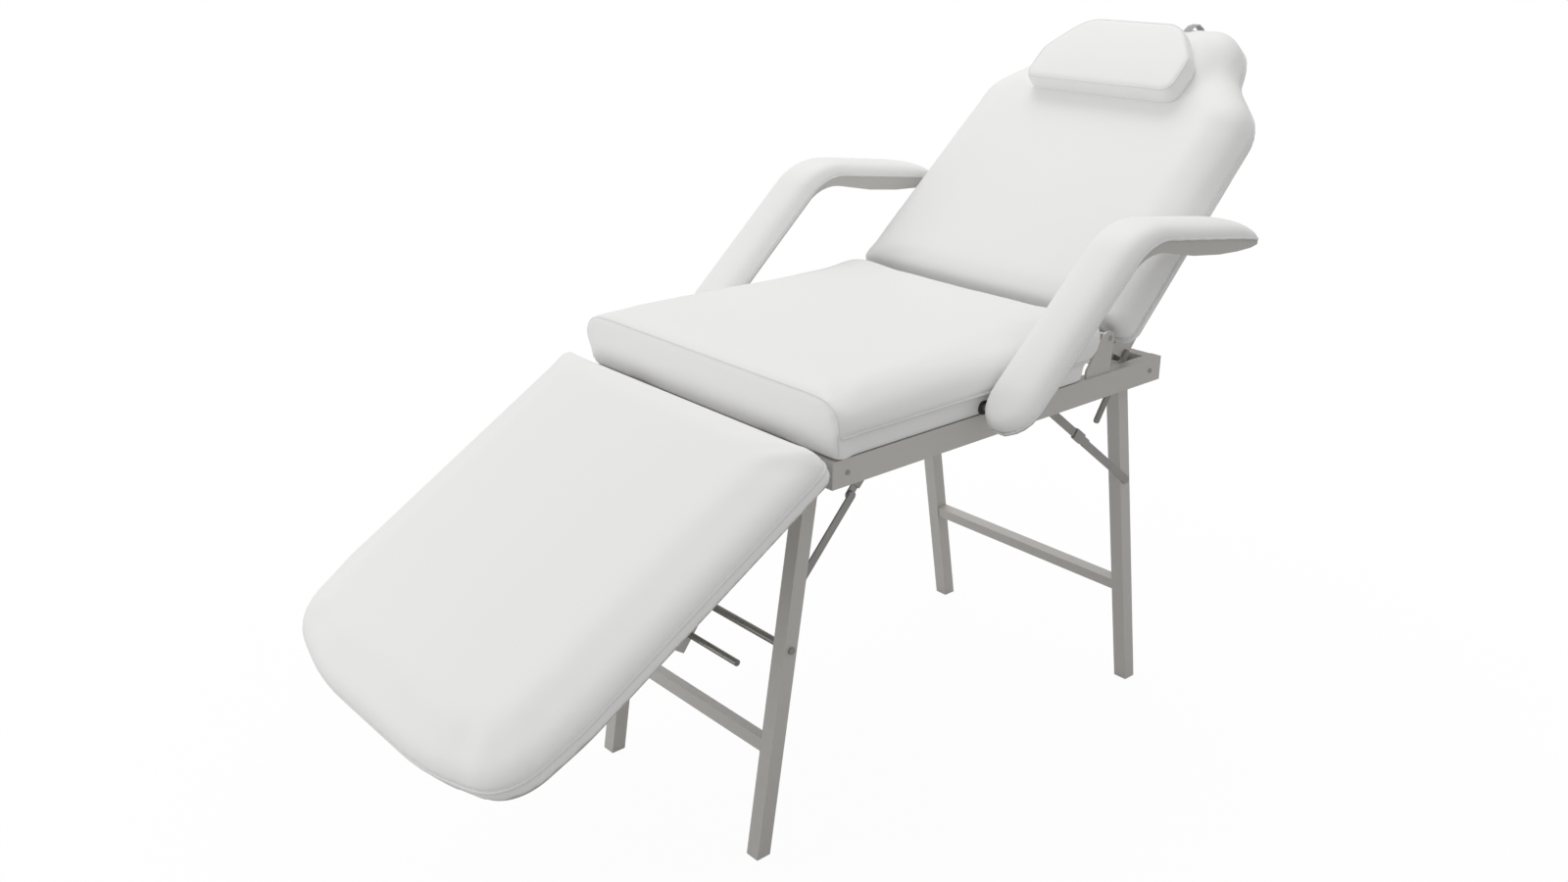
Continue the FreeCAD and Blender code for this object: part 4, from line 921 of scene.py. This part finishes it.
@dataclass
class Backrest:
    """The reclining back with its narrowed head, and the pillow strapped to it."""

    pivot_y: float = 0.33244
    pivot_z: float = 0.708
    tilt: float = 42.5
    feel: Feel = Feel()
    # X, Y and radius of the corners on the +X side, from the seat up to the head
    corners: tuple[Corner, ...] = (
        (0.302, 0.015, 0.022), (0.286, 0.462, 0.085), (0.206, 0.54, 0.075), (0.178, 0.64, 0.078))
    levels: tuple[Level, ...] = (
        (-41, 16), (-44.5, 7.5), (-45, 6), (-40, 3), (-33, 2), (-28, 2.6), (-23, 1), (-14, 0), (-2, 0),
        (6, 1.2), (13, 4.5), (19, 10), (24, 18), (27.5, 28), (30, 42), (31.5, 60))
    welts: tuple[WeltLine, ...] = (("welt", -28, 1.5, 0.0026),)
    seat_side: int = 7
    seat_side_share: float = 0.3
    pillow_half: float = 0.159
    pillow_low: float = 0.439
    pillow_depth: float = 0.15
    pillow_lift: float = 0.0324
    # Where the pillow's upper corners begin and how wide it is at the top, as shares, and its corners' radii
    pillow_shoulder: float = 0.5
    pillow_top: float = 0.64
    pillow_radii: tuple[float, float, float] = (0.02, 0.042, 0.062)
    pillow_feel: Feel = Feel(voxel=0.005, pressure=3.0, cap=0.004, smooth=3, fill=0.9)
    pillow_levels: tuple[Level, ...] = (
        (0, 4), (2, 1.5), (6, 0.4), (14, 0), (30, 0), (35, 0.6), (37.6, 2), (39, 4.5), (39.8, 9))
    pillow_welts: tuple[WeltLine, ...] = (("top_seam", 38.0, 2.0, 0.001), ("base_seam", 2.5, 1.0, 0.001))

    def pillow_corners(self) -> list[Corner]:
        """The pillow's outline: straight below, cut back to a narrower upper edge."""
        half, low, depth = self.pillow_half, self.pillow_low, self.pillow_depth
        low_radius, shoulder_radius, top_radius = self.pillow_radii
        return mirrored([(half, low, low_radius), (half, low + self.pillow_shoulder * depth, shoulder_radius),
                         (self.pillow_top * half, low + depth, top_radius)])

    def parts(self) -> list[SlopedPad]:
        """The back pad and the pillow."""
        place = tilted_frame(self.pivot_y, self.pivot_z, self.tilt)
        back = SlopedPad("back_pad", "backrest", ("backrest_cushion",), place, mirrored(self.corners),
                         self.levels, self.welts, self.feel, self.seat_side, self.seat_side_share)
        pillow_place = place @ Matrix.Translation((0.0, 0.0, self.pillow_lift))
        pillow = SlopedPad("pillow", "pillow", ("head_pillow",), pillow_place, self.pillow_corners(),
                           self.pillow_levels, self.pillow_welts, self.pillow_feel)
        return [back, pillow]


@dataclass
class LegRest:
    """The hinged leg rest: a roll down to a welt, and a band below it."""

    pivot_y: float = -0.27256
    pivot_z: float = 0.65
    tilt: float = 31.0
    feel: Feel = Feel()
    # X, Y and radius of the corners on the +X side, from the foot end up to the hinge
    corners: tuple[Corner, ...] = (
        (0.15, -0.636, 0.5), (0.298, -0.6, 0.09), (0.315, -0.48, 0.3), (0.316, -0.008, 0.026))
    levels: tuple[Level, ...] = (
        (3, 16), (-0.8, 7), (-1, 5), (4, 4), (12, 3.8), (19, 4), (23, 2.4), (29, 1.6), (35, 2.4), (41, 5.4),
        (46.5, 11), (51, 19), (54.5, 30), (57.5, 44), (59.6, 60), (61, 80))
    welts: tuple[WeltLine, ...] = (("welt", 21.0, 2.8, 0.0026),)
    hinge_side: int = 3

    def parts(self) -> list[SlopedPad]:
        """The leg rest's pad."""
        place = tilted_frame(self.pivot_y, self.pivot_z, self.tilt)
        return [SlopedPad("leg_pad", "leg_rest", ("leg_rest_cushion",), place, mirrored(self.corners),
                          self.levels, self.welts, self.feel, self.hinge_side)]


@dataclass(frozen=True)
class ArmStation:
    """A place along an arm: the section of its pad there."""

    spot: Vector
    angle: float
    half: float
    low: float
    high: float

    def at(self, across: float, rise: float) -> Vector:
        """A point of the section, from how far it lies to the side and above the path."""
        return self.spot + Vector((across, -math.sin(self.angle) * rise, math.cos(self.angle) * rise))


@dataclass
class Armrest:
    """A bent arm: a crowned pad that wraps over its board's edge, with a welt round the lower edge."""

    side: Side
    middle: float = 0.3505
    half: float = 0.044
    corner_y: float = 0.25894
    corner_z: float = 0.886
    slope: float = 42.2
    droop: float = 7.5
    bend: float = 0.095
    bend_steps: int = 14
    lower_run: float = 0.356
    upper_run: float = 0.326
    board: float = 0.009
    height: float = 0.025
    # Lengths over which the lower end is rounded and thickens, and the upper end is rounded and thins out
    tongue: float = 0.048
    toe: float = 0.06
    point: float = 0.065
    taper: float = 0.1
    # Shares of the thickness that are left at the lower end, at the upper end and at a rounded end's edge
    toe_share: float = 0.42
    tip_share: float = 0.12
    edge_share: float = 0.55
    # Square of the share of the width that is left at the ends
    end_width: float = 0.004
    wrap_lower: float = 0.0065
    wrap_upper: float = 0.002
    # Distances of the sections from each end, closer together where it is round
    end_steps: tuple[float, ...] = (
        0.0, 0.0006, 0.002, 0.0045, 0.008, 0.0125, 0.018, 0.025, 0.034, 0.046, 0.06, 0.08, 0.11, 0.16, 0.22)
    # The section: its points, the rounded lower edge, and how square the crown and the underside are
    section_points: int = 40
    lip: float = 0.004
    lip_share: float = 0.4
    crown_square: tuple[float, float] = (0.62, 0.78)
    base_square: tuple[float, float] = (0.3, 0.4)
    welt_inset: float = 0.001
    welt_lift: float = 0.0022
    welt_step: float = 0.003
    welt_radius: float = 0.0024
    welt_rise: float = 0.0006
    feel: Feel = Feel(voxel=0.005, pressure=3.0, cap=0.003, smooth=4, fill=0.85)
    pad: Pad = field(init=False)

    def station(self, spot: Vector, angle: float, below: float, above: float) -> ArmStation:
        """The pad's section at a place of the path.

        Args:
            spot: point of the path along the board's underside.
            angle: the path's slope there.
            below: how far the lower end is.
            above: how far the upper end is.

        Returns:
            The section's sizes.
        """
        narrow = min(min(below / self.tongue, 1.0), min(above / self.point, 1.0))
        wide = math.sqrt(max(1.0 - (1.0 - narrow) ** 2, self.end_width))
        blunt = self.toe_share + (1 - self.toe_share) * math.sqrt(min(below / self.toe, 1.0))
        slim = self.tip_share + (1 - self.tip_share) * math.sin(min(above / self.taper, 1.0) * math.pi / 2)
        turned = (math.radians(self.slope) - angle) / math.radians(self.slope + self.droop)
        wrap = (self.wrap_lower + (self.wrap_upper - self.wrap_lower) * turned) * slim
        seat = self.board * slim
        full = min(blunt, self.edge_share + (1 - self.edge_share) * wide)
        return ArmStation(spot, angle, self.half * wide, seat - wrap, seat + self.height * slim * full)

    def stations(self) -> list[ArmStation]:
        """The pad's sections from the lower end to the upper end."""
        slope, droop = math.radians(self.slope), math.radians(self.droop)
        corner = Vector((0.0, self.corner_y, self.corner_z))
        down = Vector((0.0, -math.cos(slope), -math.sin(slope)))
        back = Vector((0.0, math.cos(droop), -math.sin(droop)))
        turn = slope + droop
        tangent = self.bend * math.tan(turn / 2)
        low, high = corner + down * self.lower_run, corner + back * self.upper_run
        centre = corner + down * tangent + Vector((0.0, math.sin(slope), -math.cos(slope))) * self.bend
        found = [(low - down * step, slope) for step in self.end_steps]
        for step in range(self.bend_steps + 1):
            angle = slope - turn * step / self.bend_steps
            found.append((centre + Vector((0.0, -math.sin(angle), math.cos(angle))) * self.bend, angle))
        found.extend((high - back * step, -droop) for step in reversed(self.end_steps))
        return [self.station(spot, angle, (spot - low).length, (spot - high).length) for spot, angle in found]

    def section(self, station: ArmStation) -> Loop:
        """The cover's outline square to the path: flat below, round at the edge, crowned on top.

        Args:
            station: the place along the arm.

        Returns:
            Points round the section.
        """
        edge = min(self.lip, self.lip_share * (station.high - station.low))
        points = []
        for step in range(self.section_points):
            theta = self.side.value * 2 * math.pi * step / self.section_points
            x, y = math.cos(theta), math.sin(theta)
            across, upright = self.crown_square if y >= 0 else self.base_square
            reach = station.high - station.low - edge if y >= 0 else -edge
            wide = math.copysign(abs(x) ** across, x) * station.half
            points.append(station.at(wide, station.low + edge + reach * abs(y) ** upright))
        return points

    def edge_path(self) -> list[Vector]:
        """The welt's line round the lower edge, in the row frame."""
        shift = Vector((self.side.value * self.middle, 0.0, 0.0))
        rows = self.stations()
        outer = [shift + row.at(row.half - self.welt_inset, row.low + self.welt_lift) for row in rows]
        inner = [shift + row.at(self.welt_inset - row.half, row.low + self.welt_lift) for row in rows]
        return dense(outer + inner[::-1], self.welt_step, True)

    def shape(self) -> Pad:
        """Make the arm's pad and tack its lower edge.

        Returns:
            The pad, ready to be blown up.
        """
        place = Matrix.Translation((self.side.value * self.middle, 0.0, 0.0))
        loops = [self.section(station) for station in self.stations()]
        self.pad = Pad(f"arm_cover_{self.side.label}", f"arm_{self.side.label}", loops, place, self.feel)
        self.pad.hold([self.edge_path()], rests=False)
        return self.pad

    def sew(self) -> None:
        """Lay the welt round the lower edge."""
        self.pad.welt("welt", self.edge_path(), self.welt_radius, True, self.welt_rise)
        self.pad.complete([f"arm_pad_{self.side.label}"])


@dataclass
class Hardware:
    """The steel and plastic pieces, which keep their solids and get their finishes."""

    finishes: dict[str, Finish] = field(default_factory=lambda: {
        "frame_paint": FRAME_PAINT, "dark_steel": DARK_STEEL, "bright_steel": PLATED_STEEL,
        "grey_plastic": GREY_PLASTIC, "black_plastic": BLACK_PLASTIC, "panel_board": BACKING_CLOTH,
        "white_leather": WHITE_LEATHER, "elastic": WHITE_ELASTIC})

    def dress(self) -> None:
        """Give each solid the finish of its material slot."""
        for part in frame["record"]["subparts"]:
            finish = self.finishes[part["material_slot"]]
            finish.dress(frame["nodes"][part["node"]])
            log.info("%s in %s", part["node"], finish.name)


@dataclass(frozen=True)
class Lamp:
    """A square soft lamp that faces the seat."""

    name: str
    place: tuple[float, float, float]
    width: float
    power: float


@dataclass
class Studio:
    """Pale floor, soft lamps, white surroundings and the camera."""

    camera_place: tuple[float, float, float] = (1.5755, -1.46766, 1.3506)
    camera_turn: tuple[float, float, float] = (69.26, 0.0, 49.17)
    lens: float = 32.56
    sensor: float = 36.0
    # The floor: its size, its place below the feet, what it throws back, and its shadow's depth and reach
    floor_size: float = 40.0
    floor_drop: float = 0.0005
    bounce: float = 0.55
    pale: float = 0.95
    shadow: float = 0.04
    shadow_near: float = 0.5
    shadow_far: float = 2.0
    soft_light: float = 0.66
    lit_place: tuple[float, float, float] = (0.0, 0.0, 0.7)
    lights: tuple[Lamp, ...] = (
        Lamp("key", (-1.2, 1.2, 4.3), 2.4, 46.0), Lamp("fill", (-1.6, -2.8, 0.9), 2.0, 20.0))

    def build(self) -> None:
        """Set up the floor, the light and the camera."""
        self.floor()
        self.surroundings()
        self.lamps()
        self.camera()
        log.info("studio with %d lamps", len(self.lights))

    def floor(self) -> None:
        """Lay a floor that looks white, keeps a faint shadow near the chair and throws back little light."""
        bpy.ops.mesh.primitive_plane_add(size=self.floor_size, location=(0.0, 0.0, -self.floor_drop))
        floor = bpy.context.active_object
        floor.name = "floor"
        material = bpy.data.materials.new("studio_floor")
        material.use_nodes = True
        tree = material.node_tree
        tree.nodes.clear()
        link = tree.links.new
        result = add_node(tree, "ShaderNodeOutputMaterial")
        dim = add_node(tree, "ShaderNodeBsdfDiffuse", Color=(self.bounce, self.bounce, self.bounce, 1.0))
        pale = add_node(tree, "ShaderNodeBsdfDiffuse", Color=(self.pale, self.pale, self.pale, 1.0))
        glow = add_node(tree, "ShaderNodeEmission")
        place = add_node(tree, "ShaderNodeNewGeometry")
        far = add_node(tree, "ShaderNodeVectorMath", operation="LENGTH")
        link(place.outputs["Position"], far.inputs[0])
        fade = add_node(tree, "ShaderNodeMapRange", interpolation_type="SMOOTHSTEP",
                        From_Min=self.shadow_near, From_Max=self.shadow_far, To_Min=self.shadow, To_Max=0.0)
        link(far.outputs["Value"], fade.inputs["Value"])
        shown = add_node(tree, "ShaderNodeMixShader")
        link(fade.outputs["Result"], shown.inputs["Fac"])
        link(glow.outputs["Emission"], shown.inputs[1])
        link(pale.outputs["BSDF"], shown.inputs[2])
        path = add_node(tree, "ShaderNodeLightPath")
        mix = add_node(tree, "ShaderNodeMixShader")
        link(path.outputs["Is Camera Ray"], mix.inputs["Fac"])
        link(dim.outputs["BSDF"], mix.inputs[1])
        link(shown.outputs["Shader"], mix.inputs[2])
        link(mix.outputs["Shader"], result.inputs["Surface"])
        floor.data.materials.append(material)

    def surroundings(self) -> None:
        """Make the surroundings white to the eye and a plain soft light to the chair."""
        world = bpy.data.worlds.new("studio")
        bpy.context.scene.world = world
        world.use_nodes = True
        tree = world.node_tree
        back = tree.nodes["Background"]
        back.inputs["Color"].default_value = (1.0, 1.0, 1.0, 1.0)
        path = add_node(tree, "ShaderNodeLightPath")
        level = add_node(tree, "ShaderNodeMapRange", To_Min=self.soft_light, To_Max=1.0)
        tree.links.new(path.outputs["Is Camera Ray"], level.inputs["Value"])
        tree.links.new(level.outputs["Result"], back.inputs["Strength"])

    def lamps(self) -> None:
        """Hang the lamps and turn them to the seat."""
        for light in self.lights:
            lamp = bpy.data.lights.new(light.name, "AREA")
            lamp.energy = light.power
            lamp.size = light.width
            holder = bpy.data.objects.new(light.name, lamp)
            holder.location = light.place
            facing = Vector(self.lit_place) - holder.location
            holder.rotation_euler = facing.to_track_quat("-Z", "Y").to_euler()
            holder.visible_camera = False
            bpy.context.scene.collection.objects.link(holder)

    def camera(self) -> None:
        """Stand the camera where the photograph was taken from."""
        lens = bpy.data.cameras.new("camera")
        lens.lens = self.lens
        lens.sensor_width = self.sensor
        lens.sensor_fit = "HORIZONTAL"
        holder = bpy.data.objects.new("camera", lens)
        holder.location = self.camera_place
        holder.rotation_euler = tuple(math.radians(angle) for angle in self.camera_turn)
        bpy.context.scene.collection.objects.link(holder)
        bpy.context.scene.camera = holder
        bpy.context.scene.view_settings.view_transform = "Standard"


def main() -> None:
    """Build the chair's looks piece by piece, then the studio."""
    logging.basicConfig(level=logging.INFO, format="%(name)s: %(message)s")
    Hardware().dress()
    upholstery = [Seat(), *Backrest().parts(), *LegRest().parts(), *(Armrest(side) for side in Side)]
    swell_together([cover.shape() for cover in upholstery])
    for cover in upholstery:
        cover.sew()
    Studio().build()


if __name__ == "__main__":
    main()
